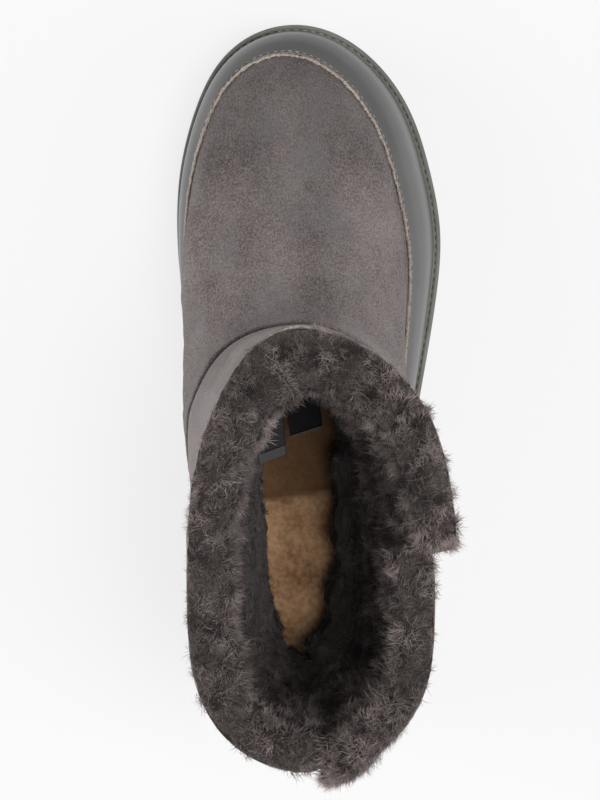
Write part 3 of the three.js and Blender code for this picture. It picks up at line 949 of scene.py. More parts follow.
@dataclass
class Sole:
    """The lugged outsole, with the welt strip stitched on top of it."""

    columns: int = 288
    across: int = 10
    arch_lift: float = 3
    arch_start: float = 82
    arch_end: float = 146
    fit_gap: float = 0.3
    side_wall: tuple[tuple[float, float], ...] = (
        (0, 3.4), (0.04, 2.5), (0.16, 1.4), (0.5, 0.95), (0.66, 0.75), (0.69, 1.2), (0.73, 1.2),
        (0.76, 0.45), (0.94, 0.1), (1, 0.5),
    )
    lug_depth: float = 3
    lug_border: float = 7
    groove_width: float = 4
    groove_pitch: float = 13
    groove_chevron: float = 9
    groove_draft: float = 0.5
    groove_reach: float = 80.0
    border_prism: tuple[float, float] = (-6, 18)
    heel_grooves: tuple[float, float] = (18, 76)
    forefoot_grooves: tuple[float, float] = (154, 266.5)
    welt_section: tuple[tuple[float, float], ...] = (
        (16.5, -3), (0.6, -3), (0.15, -2.75), (0, -2.2), (0, -0.5), (0.1, -0.2), (0.3, 0),
        (1.65, 0), (1.75, -0.1), (1.82, -0.3), (1.92, -0.42), (2.1, -0.42), (2.2, -0.3), (2.27, -0.1),
        (2.35, 0), (16.5, 0),
    )
    groove_depth: float = 0.42
    stitches: Seam = Seam("welt_stitches", 3.4, 2.1, 0.36)
    stitch_inset: float = 2.0
    stitch_lift: float = -0.3
    stitch_steps: int = 720

    def tread(self, y: np.ndarray) -> np.ndarray:
        """Height of the underside, lifted at the arch and at the toe."""
        middle = (self.arch_start + self.arch_end) / 2
        hump = smooth(self.arch_start, middle, y) * (1 - smooth(middle, self.arch_end, y))
        return LAST.tread_line(y) + self.arch_lift * hump

    def block(self) -> Object:
        """The outsole before its grooves are cut."""
        s = places_round(self.columns)
        rings = []
        for height, inset in self.side_wall:
            ring = LAST.rim_points(s, inset)
            top = ring[:, 2] - WELT_THICK - self.fit_gap
            low = self.tread(ring[:, 1])
            ring[:, 2] = low + (top - low) * height
            rings.append(ring)
        low = (lambda x, y: self.tread(y), self.across)
        high = (lambda x, y: LAST.welt_top(y) - WELT_THICK - self.fit_gap, self.across)
        mesh = foot_block("outsole_rubber", rings, low, high)
        return BENCH.object(mesh.name, mesh, TREAD.material())

    def groove_tool(self) -> Object:
        """Every chevron groove as one cutting tool, kept inside the plain border."""
        reach, points, faces = self.groove_reach, [], []
        rows = [np.arange(*patch, self.groove_pitch) for patch in (self.heel_grooves, self.forefoot_grooves)]
        for y in np.concatenate(rows):
            base = LAST.tread_line(y)
            for z, half in ((base - 2, self.groove_width / 2 + self.groove_draft),
                            (base + self.lug_depth, self.groove_width / 2 - self.groove_draft)):
                bend = -self.groove_chevron
                points += [(-reach, y + bend - half, z), (0, y - half, z), (reach, y + bend - half, z),
                           (reach, y + bend + half, z), (0, y + half, z), (-reach, y + bend + half, z)]
            low = [len(points) - 12 + k for k in range(6)]
            high = [corner + 6 for corner in low]
            ahead = np.roll(range(6), -1)
            faces += [low, high]
            faces += [[low[k], low[on], high[on], high[k]] for k, on in enumerate(ahead)]
        tool = BENCH.object("grooves", BENCH.mesh("grooves", np.array(points, dtype=float), faces))
        carve(tool, self.border_tool(), "INTERSECT")
        return tool

    def border_tool(self) -> Object:
        """An upright prism inside which the lugs stand."""
        s = places_round(self.columns)
        ring = LAST.rim_points(s, self.lug_border)
        low, high = (ring * (1, 1, 0) + (0, 0, z) for z in self.border_prism)
        faces = ring_faces(2, self.columns)
        faces += [list(range(self.columns)), list(range(self.columns, 2 * self.columns))]
        return BENCH.object("border", BENCH.mesh("border", np.concatenate([low, high]), faces))

    def outsole(self) -> None:
        """The outsole with its lugs."""
        piece = self.block()
        carve(piece, self.groove_tool(), "DIFFERENCE")
        piece.data.set_sharp_from_angle(angle=math.radians(32))
        BENCH.deliver(piece, Slot.TREAD, "outsole")

    def welt(self) -> None:
        """The welt with its stitching groove."""
        s = places_round(self.columns)
        rings = np.array([LAST.rim_points(s, inset, lift) for inset, lift in self.welt_section])
        mesh = ring_mesh("welt_strip", rings)
        piece = BENCH.object("welt_strip", mesh, WELT.material(), CHANNEL_SHADE.material())
        # painted shade: the groove's floor takes the dark painted shade finish
        self.paint_groove_shade(mesh)
        mesh.set_sharp_from_angle(angle=math.radians(50))
        BENCH.deliver(piece, Slot.WELT, "welt")

    def paint_groove_shade(self, mesh: Mesh) -> None:
        """Give the faces in the bottom of the groove the dark painted shade finish."""
        for polygon in mesh.polygons:
            x, y, z = np.array(polygon.center) / MM - BENCH.shift
            below = z - float(LAST.welt_top(np.array(y)))
            facing_up = polygon.normal.z > 0.2
            polygon.material_index = int(facing_up and -self.groove_depth * 1.1 < below < -0.12)

    def build(self) -> None:
        """Build the outsole, the welt and its stitches."""
        self.outsole()
        self.welt()
        s = np.linspace(0, 1, self.stitch_steps, endpoint=False)
        path = LAST.rim_points(s, self.stitch_inset, self.stitch_lift)
        BENCH.deliver(self.stitches.sew(path, THREAD.material()), Slot.THREAD)


# ------------------------------------------------------------------ rand


@dataclass
class Rand:
    """The coated leather band round the foot, its raw top edge and its seam."""

    columns: int = 320
    rows: int = 26
    inner_rows: int = 14
    fit_gap: float = 0.3
    thick: float = 1.4
    level_mm: float = 12
    skive: float = 0.5
    skive_from: float = 1.5
    channel_below: float = 0.75
    channel_half: float = 0.35
    channel_deep: float = 0.25
    channel_radius: float = 0.24
    edge_radius: float = 0.62
    edge_wobble: float = 0.14
    edge_jitter: float = 0.26
    stitches: Seam = Seam("rand_stitches", 2.9, 1.7, 0.36)

    @property
    def channel_level(self) -> float:
        """Level of the stitching channel's middle."""
        return LAST.rand_top - self.channel_below / self.level_mm

    def outside(self, level: np.ndarray) -> np.ndarray:
        """Offset of the band's face, which is skived thin towards its top."""
        return self.fit_gap + self.thick * (1 - self.skive * smooth(self.skive_from, LAST.rand_top, level))

    def profile(self) -> np.ndarray:
        """Once round the band's section, as rows of level and offset."""
        top = LAST.rand_top
        levels = np.linspace(0, top - 0.06, self.rows)
        middle = self.channel_level
        near = np.array([-1.4, -1, -0.5, 0, 0.5, 1, 1.4]) * self.channel_half / self.level_mm + middle
        levels = np.sort(np.concatenate([levels[np.abs(levels - middle) > 0.08], near]))
        gap = np.abs(levels - middle) * self.level_mm / self.channel_half
        sunk = self.channel_deep * (1 - smooth(0.3, 1.2, gap))
        face = np.stack([levels, self.outside(levels) - sunk], axis=-1)
        rim = float(self.outside(top))
        edge = np.array([(top - 0.03, rim - 0.05), (top, rim - 0.25), (top + 0.004, rim - 0.6)])
        down = np.linspace(top - 0.02, 0, self.inner_rows)
        inside = np.stack([down, np.full(len(down), self.fit_gap)], axis=-1)
        return np.concatenate([face, edge, inside])

    def band(self) -> None:
        """The band itself."""
        s = places_round(self.columns)
        mesh = ring_mesh("rand_band", loop_surface(self.profile(), s))
        mesh.set_sharp_from_angle(angle=math.radians(60))
        BENCH.finish(mesh, RAND, Slot.RAND, "rand")

    def line(self, level: float, offset: float, count: int = 900) -> np.ndarray:
        """A closed path round the band at one level and offset."""
        s = np.linspace(0, 1, count, endpoint=False)
        return LAST.surface(s, np.array([level]), offset)[0]

    def raw_edge(self) -> None:
        """The pale cut edge along the band's top, slightly uneven as a knife leaves it."""
        path = self.line(LAST.rand_top + 0.05, self.edge_radius, 1500)
        path = path + Waves(5, 11).vector(path) * self.edge_wobble
        radius = self.edge_radius * (1 + self.edge_jitter * Waves(1.3, 14)(path))
        mesh = tube("rand_cut_edge", path, radius, True)
        store_pale(mesh, lambda x, y: 1.0)
        BENCH.finish(mesh, CUT_EDGE, Slot.CUT_EDGE)

    def channel(self) -> None:
        """A dark line of painted shade in the bottom of the stitching channel."""
        level = self.channel_level
        path = self.line(level, float(self.outside(level)) - self.channel_deep - 0.1)
        # painted shade: a dark tube lies along the channel's floor
        mesh = tube("rand_channel", path, np.full(len(path), self.channel_radius), True, 6)
        BENCH.finish(mesh, CHANNEL_SHADE, Slot.THREAD)

    def build(self) -> None:
        """Build the band, its edge, its channel and its stitches."""
        self.band()
        self.raw_edge()
        self.channel()
        level = self.channel_level
        path = self.line(level, float(self.outside(level)) - 0.08)
        BENCH.deliver(self.stitches.sew(path, THREAD.material()), Slot.THREAD)


# ------------------------------------------------------------------ upper and shaft


@dataclass
class Upper:
    """The suede of vamp and quarters, with the creases listed for it."""

    columns: int = 288
    rows: int = 84
    inner_rows: int = 18
    skin: float = 1.5
    lip: float = 0.35
    swell: float = 0.28
    creases: tuple[Crease, ...] = (
        Crease((0.235, 5.9), (0.30, 3.6), -0.9, 6.5),
        Crease((0.275, 5.95), (0.345, 4.2), 0.7, 6.5),
        Crease((0.765, 5.9), (0.70, 3.7), -0.8, 6.5),
        Crease((0.725, 5.95), (0.655, 4.4), 0.6, 6.0),
        Crease((0.40, 3.6), (0.60, 3.5), -0.35, 11),
        Crease((0.02, 5.4), (0.10, 4.2), -0.6, 7),
        Crease((0.90, 5.4), (0.97, 4.4), 0.5, 7),
    )

    def lumps(self, s: np.ndarray, t: np.ndarray, points: np.ndarray) -> np.ndarray:
        """Creases and a faint unevenness of the skin."""
        uneven = self.swell * Waves(32, 21)(points) + 0.12 * Waves(9, 24)(points)
        held = smooth(LAST.rand_top - 0.1, LAST.rand_top + 0.7, t)[:, None]
        return creased(uneven, self.creases, points) * held

    def painted_shading(self, x: np.ndarray, y: np.ndarray) -> np.ndarray:
        """Painted shade and painted light on the suede, stored as "pale": darker towards the toe, paler on
        the outer side.
        """
        return 1 - 0.34 * smooth(155, 245, y) + 0.004 * np.clip(x, 0, None)

    def build(self) -> None:
        """Build the skin of the upper."""
        top = LAST.throat - 0.02
        face_levels = np.linspace(0, top - 0.05, self.rows)
        lift = self.lip * smooth(top - 0.35, top - 0.08, face_levels)
        face = np.stack([face_levels, lift], axis=-1)
        edge = np.array([(top - 0.015, self.lip * 0.8), (top, 0), (top, -0.8), (top - 0.02, -self.skin)])
        down = np.linspace(top - 0.2, 0, self.inner_rows)
        inside = np.stack([down, np.full(len(down), -self.skin)], axis=-1)
        profile = np.concatenate([face, edge, inside])
        s = places_round(self.columns)
        mesh = ring_mesh("vamp_suede", loop_surface(profile, s, self.lumps))
        # painted shade towards the toe and painted light on the outer side
        store_pale(mesh, self.painted_shading)
        BENCH.finish(mesh, SUEDE, Slot.SUEDE, "upper")


@dataclass(frozen=True)
class Panel:
    """One panel of the shaft between two slits."""

    name: str
    start: float
    end: float

    def places(self, count: int, margin: float = 0.0) -> np.ndarray:
        """Places from edge to edge, close together near both edges."""
        even = np.linspace(self.start + margin, self.end - margin, count)
        near = np.array([0.0004, 0.001, 0.002, 0.0035])
        return np.sort(np.concatenate([even, even[0] + near, even[-1] - near]))

    def rounded(self, s: np.ndarray, t: np.ndarray, radius: float) -> np.ndarray:
        """Levels t lowered towards the panel's two corners, which are rounded at the collar.

        Args:
            s: Places on the panel, of shape (columns,).
            t: Levels of shape (rows, 1) or (rows, columns).
            radius: The corners' radius, in millimetres.

        Returns:
            Levels of shape (rows, columns).
        """
        gap = np.minimum(s - self.start, self.end - s) * SHAFT_ROUND_MM
        inward = np.clip(radius - gap, 0, radius)
        drop = (radius - np.sqrt(np.maximum(radius**2 - inward**2, 0))) / SHAFT_LEVEL_MM
        share = np.clip((t - LAST.throat) / (LAST.collar - LAST.throat), 0, None)
        return t - share**6 * drop[None, :]


@dataclass
class Shaft:
    """The shaft: two suede panels that meet at the slits, with raw edges."""

    hair: float = 1e-5
    open_half: float = 0.0016
    open_below: float = 6
    open_above: float = 14
    skin: float = 1.5
    corner: float = 7.0
    columns: dict[str, int] = field(default_factory=lambda: {"shaft_front": 190, "shaft_rear": 70})
    rows: int = 42
    edge_radius: float = 0.38
    edge_wobble: float = 0.12
    edge_jitter: float = 0.25
    edge_from: float = 7.45
    edge_shade_fade_start: float = 141
    edge_shade_fade_end: float = 149
    creases: tuple[Crease, ...] = (
        Crease((0.265, 6.3), (0.275, 8.9), -1.3, 3.2),
        Crease((0.30, 6.2), (0.31, 8.9), 1.2, 2.8),
        Crease((0.335, 6.2), (0.34, 8.8), -1.3, 3.0),
        Crease((0.37, 6.2), (0.375, 8.7), 1.0, 3.0),
        Crease((0.405, 6.2), (0.41, 8.6), -0.8, 3.0),
        Crease((0.15, 6.6), (0.10, 8.2), -0.7, 6),
        Crease((0.84, 6.4), (0.88, 7.9), -0.8, 6),
        Crease((0.65, 6.5), (0.62, 8.2), -0.7, 5.5),
        Crease((0.06, 6.4), (0.18, 6.9), -0.6, 6),
    )

    def panels(self) -> tuple[Panel, Panel]:
        """The front panel, round the inner side to the side slit, and the rear panel."""
        side, back = LAST.side_slit.s, LAST.back_slit.s
        return (
            Panel("shaft_front", back - 1 + self.hair, side - self.hair),
            Panel("shaft_rear", side + self.hair, back - self.hair),
        )

    def open_weight(self, z: np.ndarray) -> np.ndarray:
        """How far the slits are open at a height, from 0 where the panels meet."""
        foot = (LAST.side_slit.bottom_z + LAST.back_slit.bottom_z) / 2
        return smooth(foot - self.open_below, foot + self.open_above, z)

    def lumps(self, s: np.ndarray, t: np.ndarray, points: np.ndarray) -> np.ndarray:
        """Creases and a faint unevenness of the skin."""
        uneven = 0.3 * Waves(26, 31)(points) + 0.12 * Waves(9, 34)(points)
        relief = creased(uneven, self.creases, points)
        return relief * smooth(0.0, 0.3, t - LAST.throat) * smooth(0.0, 0.35, LAST.collar - t + 0.1)

    def sheet(self, panel: Panel, profile: np.ndarray, count: int,
              lumps: Callable | None = None) -> np.ndarray:
        """Points of a panel along a profile of (level, offset), opened at its slits.

        Args:
            panel: The panel.
            profile: Rows of level and offset.
            count: Columns, besides those close to the edges.
            lumps: Extra offset, or None.

        Returns:
            Points of shape (rows, columns, 3).
        """
        closed, opened = panel.places(count), panel.places(count, self.open_half)
        levels = panel.rounded(closed, profile[:, :1], self.corner)
        middle = -self.skin / 2
        round_ = 1 - 0.55 * np.exp(-np.minimum(closed - closed[0], closed[-1] - closed) / 0.0008)
        offset = middle + (profile[:, 1:] - middle) * round_[None, :]
        first = LAST.surface(closed, levels, offset)
        if lumps is not None:
            offset = offset + lumps(closed, levels, first)
            first = LAST.surface(closed, levels, offset)
        weight = self.open_weight(first[..., 2:])
        return first + (LAST.surface(opened, levels, offset) - first) * weight

    def profile(self) -> np.ndarray:
        """Up the outside of the skin, over its edge and down the inside."""
        foot, top = LAST.throat + 0.02, LAST.collar
        up = np.linspace(foot, top - 0.04, self.rows)
        outside = -0.9 * (1 - smooth(foot, foot + 0.22, up))
        face = np.stack([up, outside], axis=-1)
        edge = np.array([(top - 0.01, -0.12), (top + 0.005, -0.55)])
        back = np.array([(top + 0.005, -self.skin + 0.55), (top - 0.01, -self.skin + 0.12)])
        inside = np.stack([up[::-1], outside[::-1] * 0.4 - self.skin], axis=-1)
        return np.concatenate([face, edge, back, inside])

    def rim_path(self, panel: Panel) -> np.ndarray:
        """Up one slit edge of a panel, along its collar and down the other slit edge."""
        levels = np.linspace(self.edge_from, LAST.collar, 60)
        profile = np.array([(level, -self.skin / 2) for level in levels])
        grid = self.sheet(panel, profile, self.columns[panel.name] * 2)
        return np.concatenate([grid[:-1, 0], grid[-1], grid[-2::-1, -1]])

    def raw_edge(self, panel: Panel, finish: Material) -> None:
        """The cut edge round a panel's free border, pale at the front and darkened behind it with painted
        shade.
        """
        path = self.rim_path(panel)
        path = path + Waves(6, 41).vector(path) * self.edge_wobble
        radius = self.edge_radius * (1 + self.edge_jitter * Waves(2.5, 44)(path))
        name = panel.name + "_cut_edge"
        mesh = tube(name, path, radius, False)
        # painted shade: the cut edge is dark behind the front of the shaft
        store_pale(mesh, lambda x, y: smooth(self.edge_shade_fade_start, self.edge_shade_fade_end, y))
        BENCH.deliver(BENCH.object(name, mesh, finish), Slot.CUT_EDGE)

    def build(self) -> None:
        """Build both panels and their raw edges."""
        suede, edge = SHAFT_SUEDE.material(), CUT_EDGE.material()
        profile = self.profile()
        for panel in self.panels():
            points = self.sheet(panel, profile, self.columns[panel.name], self.lumps)
            mesh = slab_mesh(panel.name, points)
            BENCH.deliver(BENCH.object(panel.name, mesh, suede), Slot.SHAFT, "shaft")
            self.raw_edge(panel, edge)


# ------------------------------------------------------------------ wool


@dataclass(frozen=True)
class Locks:
    """The locks of wool that one pile is made of: bundles of thin curved fibres of unit length."""

    variants: int = 8
    fibres: int = 9
    segments: int = 3
    spread: float = 0.24
    splay: float = 0.34
    curl: float = 0.15
    wave: float = 4.2
    bend: float = 1.6
    width: float = 0.042
    taper: float = 0.55
    seed: int = 100

    def fibre(self, rng: np.random.Generator) -> np.ndarray:
        """Points down the middle of one fibre."""
        root = rng.normal(size=2) * self.spread * 0.6
        lean = rng.normal(size=2) * self.splay
        phase, size = rng.uniform(0, 2 * np.pi, 2), rng.uniform(0.5, 1.3) * self.curl
        up = np.linspace(0, 1, self.segments + 1)
        x, y = (
            root[k] + lean[k] * up**self.bend + size * up * np.sin(self.wave * up + phase[k])
            for k in range(2)
        )
        return np.stack([x, y, up * rng.uniform(0.6, 1.05)], axis=-1)

    def lock(self, index: int) -> Object:
        """One variant, with the attribute tip rising along each fibre and its cell for the map."""
        rng = np.random.default_rng(self.seed + index)
        points, faces, tips, cells = [], [], [], []
        for k in range(self.fibres):
            line = self.fibre(rng)
            turn = rng.uniform(0, np.pi)
            across = np.array([math.cos(turn), math.sin(turn), 0]) * self.width / 2
            first, steps = len(points), len(line) - 1
            for i, point in enumerate(line[:-1]):
                thin = 1 - self.taper * (i / steps)
                points += [point - across * thin, point + across * thin]
                tips += [i / steps] * 2
                cells += [(k + 0.2, i / steps), (k + 0.8, i / steps)]
            points.append(line[-1])
            tips.append(1.0)
            cells.append((k + 0.5, 1.0))
            for i in range(steps - 1):
                a = first + 2 * i
                faces.append((a, a + 1, a + 3, a + 2))
            a = first + 2 * (steps - 1)
            faces.append((a, a + 1, a + 2))
        mesh = bpy.data.meshes.new(f"lock_{index}")
        mesh.from_pydata([tuple(point) for point in points], [], faces)
        mesh.shade_smooth()
        store(mesh, "tip", tips)
        store(mesh, "cell", [(u / self.fibres, v, 0) for u, v in cells])
        return bpy.data.objects.new(mesh.name, mesh)

    def collection(self) -> Collection:
        """Every variant, in a collection outside the scene."""
        made = bpy.data.collections.new("locks")
        for index in range(self.variants):
            made.objects.link(self.lock(index))
        return made


@dataclass(frozen=True)
class Pile:
    """Wool on a sheet of skin: how many locks stand on it and how long they are."""

    density: float
    length: float
    seed: int
    cells: int = 96
    cell_share: float = 0.8
    sway: float = 0.25
    sizes: tuple[float, float] = (0.7, 1.25)
    shades: tuple[float, float] = (0.0, 0.6)

    def tree(self) -> tuple[Tree, dict[str, str]]:
        """The Geometry Nodes tree that plants the locks."""
        tree, source, keys = node_group("wool_pile", {
            "Density": "NodeSocketFloat",
            "Length": "NodeSocketFloat",
            "Seed": "NodeSocketInt",
            "Locks": "NodeSocketCollection",
            "Wool": "NodeSocketMaterial",
        })
        pile, lie = tree.named("pile"), tree.named("lie", "FLOAT_VECTOR")
        reach, light = tree.named("reach"), tree.named("light")
        dense = tree.math("MULTIPLY", source.outputs["Density"], pile)
        roots = tree.add("GeometryNodeDistributePointsOnFaces", {
            "Mesh": source.outputs["Geometry"], "Density": dense, "Seed": source.outputs["Seed"],
        }, distribute_method="RANDOM")
        stand = tree.add("FunctionNodeAlignRotationToVector", {"Vector": lie}, axis="Z")
        spin = tree.add("FunctionNodeRandomValue", {
            0: (-self.sway, -self.sway, 0), 1: (self.sway, self.sway, 6.283), "Seed": 3,
        }, data_type="FLOAT_VECTOR").outputs[0]
        turned = tree.add("FunctionNodeRotateRotation", {
            "Rotation": stand.outputs[0], "Rotate By": spin,
        }, rotation_space="LOCAL")
        vary = tree.chance(*self.sizes, 5)
        size = tree.math("MULTIPLY", tree.math("MULTIPLY", vary, source.outputs["Length"]), reach)
        locks = tree.add("GeometryNodeCollectionInfo", {
            "Collection": source.outputs["Locks"], "Separate Children": True, "Reset Children": True,
        })
        planted = tree.add("GeometryNodeInstanceOnPoints", {
            "Points": roots.outputs["Points"],
            "Instance": locks.outputs[0],
            "Pick Instance": True,
            "Rotation": turned.outputs[0],
            "Scale": size,
        })
        shade = tree.math("ADD", tree.chance(*self.shades, 9), light)
        shaded = tree.store(planted.outputs[0], "shade", shade, data_type="FLOAT", domain="INSTANCE")
        number = tree.add("GeometryNodeInputIndex").outputs[0]
        column = tree.math("MODULO", number, float(self.cells))
        row = tree.math("FLOOR", tree.math("DIVIDE", number, float(self.cells)))
        place = tree.add("ShaderNodeCombineXYZ", {0: column, 1: row}).outputs[0]
        numbered = tree.store(shaded, "place", place, data_type="FLOAT_VECTOR", domain="INSTANCE")
        solid = tree.add("GeometryNodeRealizeInstances", {"Geometry": numbered})
        cell, corner = tree.named("cell", "FLOAT_VECTOR"), tree.named("place", "FLOAT_VECTOR")
        share, margin = self.cell_share, (1 - self.cell_share) / 2
        scaled = tree.vector("MULTIPLY", cell, (share, share, 0))
        within = tree.vector("ADD", scaled, (margin, margin, 0))
        across = tree.vector("DIVIDE", tree.vector("ADD", corner, within), (self.cells, self.cells, 1))
        mapped = tree.store(solid.outputs[0], "OFBake", across, data_type="FLOAT2", domain="CORNER")
        dressed = tree.add("GeometryNodeSetMaterial", {
            "Geometry": mapped, "Material": source.outputs["Wool"],
        })
        tree.add("NodeGroupOutput", {"Geometry": dressed.outputs[0]})
        return tree, keys

    def plant(self, name: str, skin: Mesh, locks: Collection, finish: Material) -> None:
        """Plant the pile on a sheet that carries pile, lie, reach and light; the sheet is left out.

        Args:
            name: Name of the piece.
            skin: The sheet, with its attributes.
            locks: The locks to pick from.
            finish: The wool's material.
        """
        piece = BENCH.object(name, skin)
        tree, keys = self.tree()
        run_nodes(piece, tree, keys, {
            "Density": self.density,
            "Length": self.length * MM,
            "Seed": self.seed,
            "Locks": locks,
            "Wool": finish,
        })
        BENCH.deliver(piece, Slot.WOOL)


@dataclass(frozen=True)
class Zone:
    """A stretch of the lining whose wool is one piece."""

    name: str
    start: float
    end: float
    panel: str


@dataclass
class Lining:
    """The sheepskin's wool inside the boot: a soft ground on the skin and the pile on it."""

    bottom: tuple[float, float, float] = (0.50, 0.58, 0.62)
    skin: float = 1.9
    crest: float = 4.0
    crest_rows: int = 16
    wall_rows: int = 74
    step: float = 0.0032
    front_edge: float = 0.045
    lap: float = 0.001
    zone_gap: float = 0.002
    depth_from: float = 3.5
    corner: float = 8.0
    depth_at_foot: tuple[tuple[float, float, float], ...] = (
        (0.00, 20, 20),
        (0.03, 20, 26),
        (0.07, 19.5, 27.5),
        (0.15, 19.7, 22.5),
        (0.25, 17.7, 20.5),
        (0.31, 17.2, 23),
        (0.45, 17.5, 24),
        (0.70, 19, 24),
        (0.90, 21, 23),
        (1.00, 23, 23),
    )
    depth_at_collar: tuple[tuple[float, float, float], ...] = (
        (0.00, 13, 13),
        (0.25, 14, 11),
        (0.50, 14, 12.5),
        (0.75, 16.5, 16),
        (0.90, 19.5, 19.5),
        (1.00, 21.5, 21.5),
    )
    pile: Pile = Pile(400000, 5.2, 5)
    fringes: dict[str, float] = field(default_factory=lambda: {"shaft_front": 7.0, "shaft_rear": 24.0})
    overhangs: tuple[tuple[float, float], ...] = ((0.68, 0.42), (0.33, 0.25))
    overhang_width: float = 0.075
    outer_share: float = 0.45
    thin_below: tuple[float, float] = (60, 130)
    zones: tuple[Zone, ...] = (
        Zone("wool_heel", -0.0125, 0.17, "shaft_front"),
        Zone("wool_inner", 0.17, 0.40, "shaft_front"),
        Zone("wool_front", 0.40, 0.60, "shaft_front"),
        Zone("wool_flap", 0.60, 0.754, "shaft_front"),
        Zone("wool_rear", 0.754, 0.9875, "shaft_rear"),
    )

    def depth(self, s: np.ndarray, t: np.ndarray) -> np.ndarray:
        """How far in from the last the wool's ground lies, of shape (rows, columns)."""
        v = way_to_toe(s)
        medial = np.mod(s, 1) < 0.5
        ends = []
        for table in (np.array(self.depth_at_foot), np.array(self.depth_at_collar)):
            inner, outer = (np.interp(v, table[:, 0], table[:, k]) for k in (1, 2))
            ends.append(np.where(medial, inner, outer))
        share = smooth(self.depth_from, LAST.collar, t)
        return ends[0] + (ends[1] - ends[0]) * share

    def sheet(self, panel: Panel, s: np.ndarray) -> np.ndarray:
        """The visible ground at places s, from the collar's edge over the crest and down."""
        turn = np.linspace(0.05, 1, self.crest_rows)[:, None] * np.pi
        v = way_to_toe(s)
        foot = np.interp(v, (0, 0.5, 1), self.bottom)
        top = LAST.collar - 0.06
        wall = top + (foot - top) * np.linspace(0, 1, self.wall_rows)[:, None]
        t = np.concatenate([np.full((self.crest_rows, len(s)), LAST.collar - 0.03), wall])
        depth = self.depth(s, t)
        rise = (1 - np.cos(turn)) / 2
        start = 0.3 + 1.4 * np.exp(-((s - 0.5) / self.front_edge) ** 2)
        crest_offset = start + (depth[:self.crest_rows] - start) * rise
        offset = -np.concatenate([crest_offset, depth[self.crest_rows:]])
        levels = panel.rounded(s, t, self.corner)
        points = LAST.surface(s, levels, offset)
        lumps = 1.1 * Waves(17, 51)(points) + 0.55 * Waves(6.5, 54)(points) + 0.3 * Waves(3.2, 57)(points)
        held = smooth(0, 5, np.arange(len(t)))[:, None]
        points = LAST.surface(s, levels, offset + lumps * held)
        points[:self.crest_rows, :, 2] += self.crest * np.sin(turn) * (1 + 0.2 * lumps[:self.crest_rows])
        return points

    def places(self, start: float, end: float) -> np.ndarray:
        """Places from start to end, a step apart."""
        return np.linspace(start, end, max(8, round((end - start) / self.step)))

    def overhang(self, s: np.ndarray) -> np.ndarray:
        """How far the wool hangs over the collar at places s, most at the stated ones."""
        width = self.overhang_width
        return sum(much * np.exp(-((s - at) / width) ** 2) for at, much in self.overhangs)

    def ground(self, panel: Panel, finish: Material) -> None:
        """The soft ground of one panel, closed behind against the skin."""
        s = self.places(panel.start - self.lap, panel.end + self.lap)
        face = self.sheet(panel, s)
        t = np.linspace(min(self.bottom), LAST.collar - 0.03, len(face))
        back = LAST.surface(s, t, -self.skin)
        mesh = slab_mesh(panel.name.replace("shaft", "wool_ground"), np.concatenate([face, back]))
        BENCH.deliver(BENCH.object(mesh.name, mesh, finish), Slot.WOOL)

    def skin_mesh(self, zone: Zone, panel: Panel) -> Mesh:
        """A sheet that locks are planted on, with its pile, lie, reach and light.

        Args:
            zone: The stretch of the lining.
            panel: The panel that it lines.

        Returns:
            The sheet, a lock's frequency, direction, length and shade at each of its points.
        """
        s = self.places(zone.start + self.zone_gap, zone.end - self.zone_gap)
        points = self.sheet(panel, s)
        rows, columns = points.shape[:2]
        mesh = bpy.data.meshes.new(zone.name)
        mesh.from_pydata(BENCH.place(points).tolist(), [], grid_faces(rows, columns, False, False).tolist())
        down, along = np.gradient(points, axis=0), np.gradient(points, axis=1)
        normal, along = unit(np.cross(down, along)), unit(along)
        y, z = points[..., 1], points[..., 2]
        from_slit = (panel.end - s) * SHAFT_ROUND_MM / self.fringes[panel.name]
        fringe = np.exp(-from_slit ** 2)[None, :] * smooth(110, 135, z)
        outer = 1 - smooth(0, self.crest_rows * self.outer_share, np.arange(rows))[:, None]
        over = np.maximum(fringe, self.overhang(s))
        full = smooth(*self.thin_below, z)
        held = outer * (1 - over)
        clump = Waves(7, 61).vector(points) * 0.55 + Waves(22, 64).vector(points) * 0.25
        outward = unit(normal[2] * (1, 1, 0))
        away = outward * (over * outer * 1.1)[..., None]
        out = 0.65 * normal * (1 - 0.75 * held)[..., None]
        lie = unit(out + (0, 0, 0.35) + 1.8 * clump + along * (fringe * 0.9)[..., None] + away)
        pile = (0.14 + 0.86 * full) * (1 - 0.9 * smooth(150, 175, y)) * (1 + fringe + 6 * over * outer)
        reach = 0.85 + 0.25 * np.clip(Waves(9, 67)(points), -1, 1) - 0.45 * held
        reach = reach * (0.6 + 0.4 * full)
        lightness = 0.45 * np.clip(Waves(9, 70)(points), -1, 1) + (0.32 + 0.8 * over) * outer
        # painted shade: locks lower in the boot than 154 mm are darker, most below 112 mm
        lightness = lightness - 0.42 * (1 - smooth(112, 154, z))
        for key, values in (("pile", pile), ("reach", reach), ("light", lightness), ("lie", lie)):
            store(mesh, key, values)
        return mesh

    def build(self) -> None:
        """Build the ground of both panels and the pile of every zone."""
        panels = {panel.name: panel for panel in Shaft().panels()}
        ground, wool, locks = WOOL_BASE.material(), WOOL.material(), Locks().collection()
        for panel in panels.values():
            self.ground(panel, ground)
        for zone in self.zones:
            self.pile.plant(zone.name, self.skin_mesh(zone, panels[zone.panel]), locks, wool)


# ------------------------------------------------------------------ insole and label


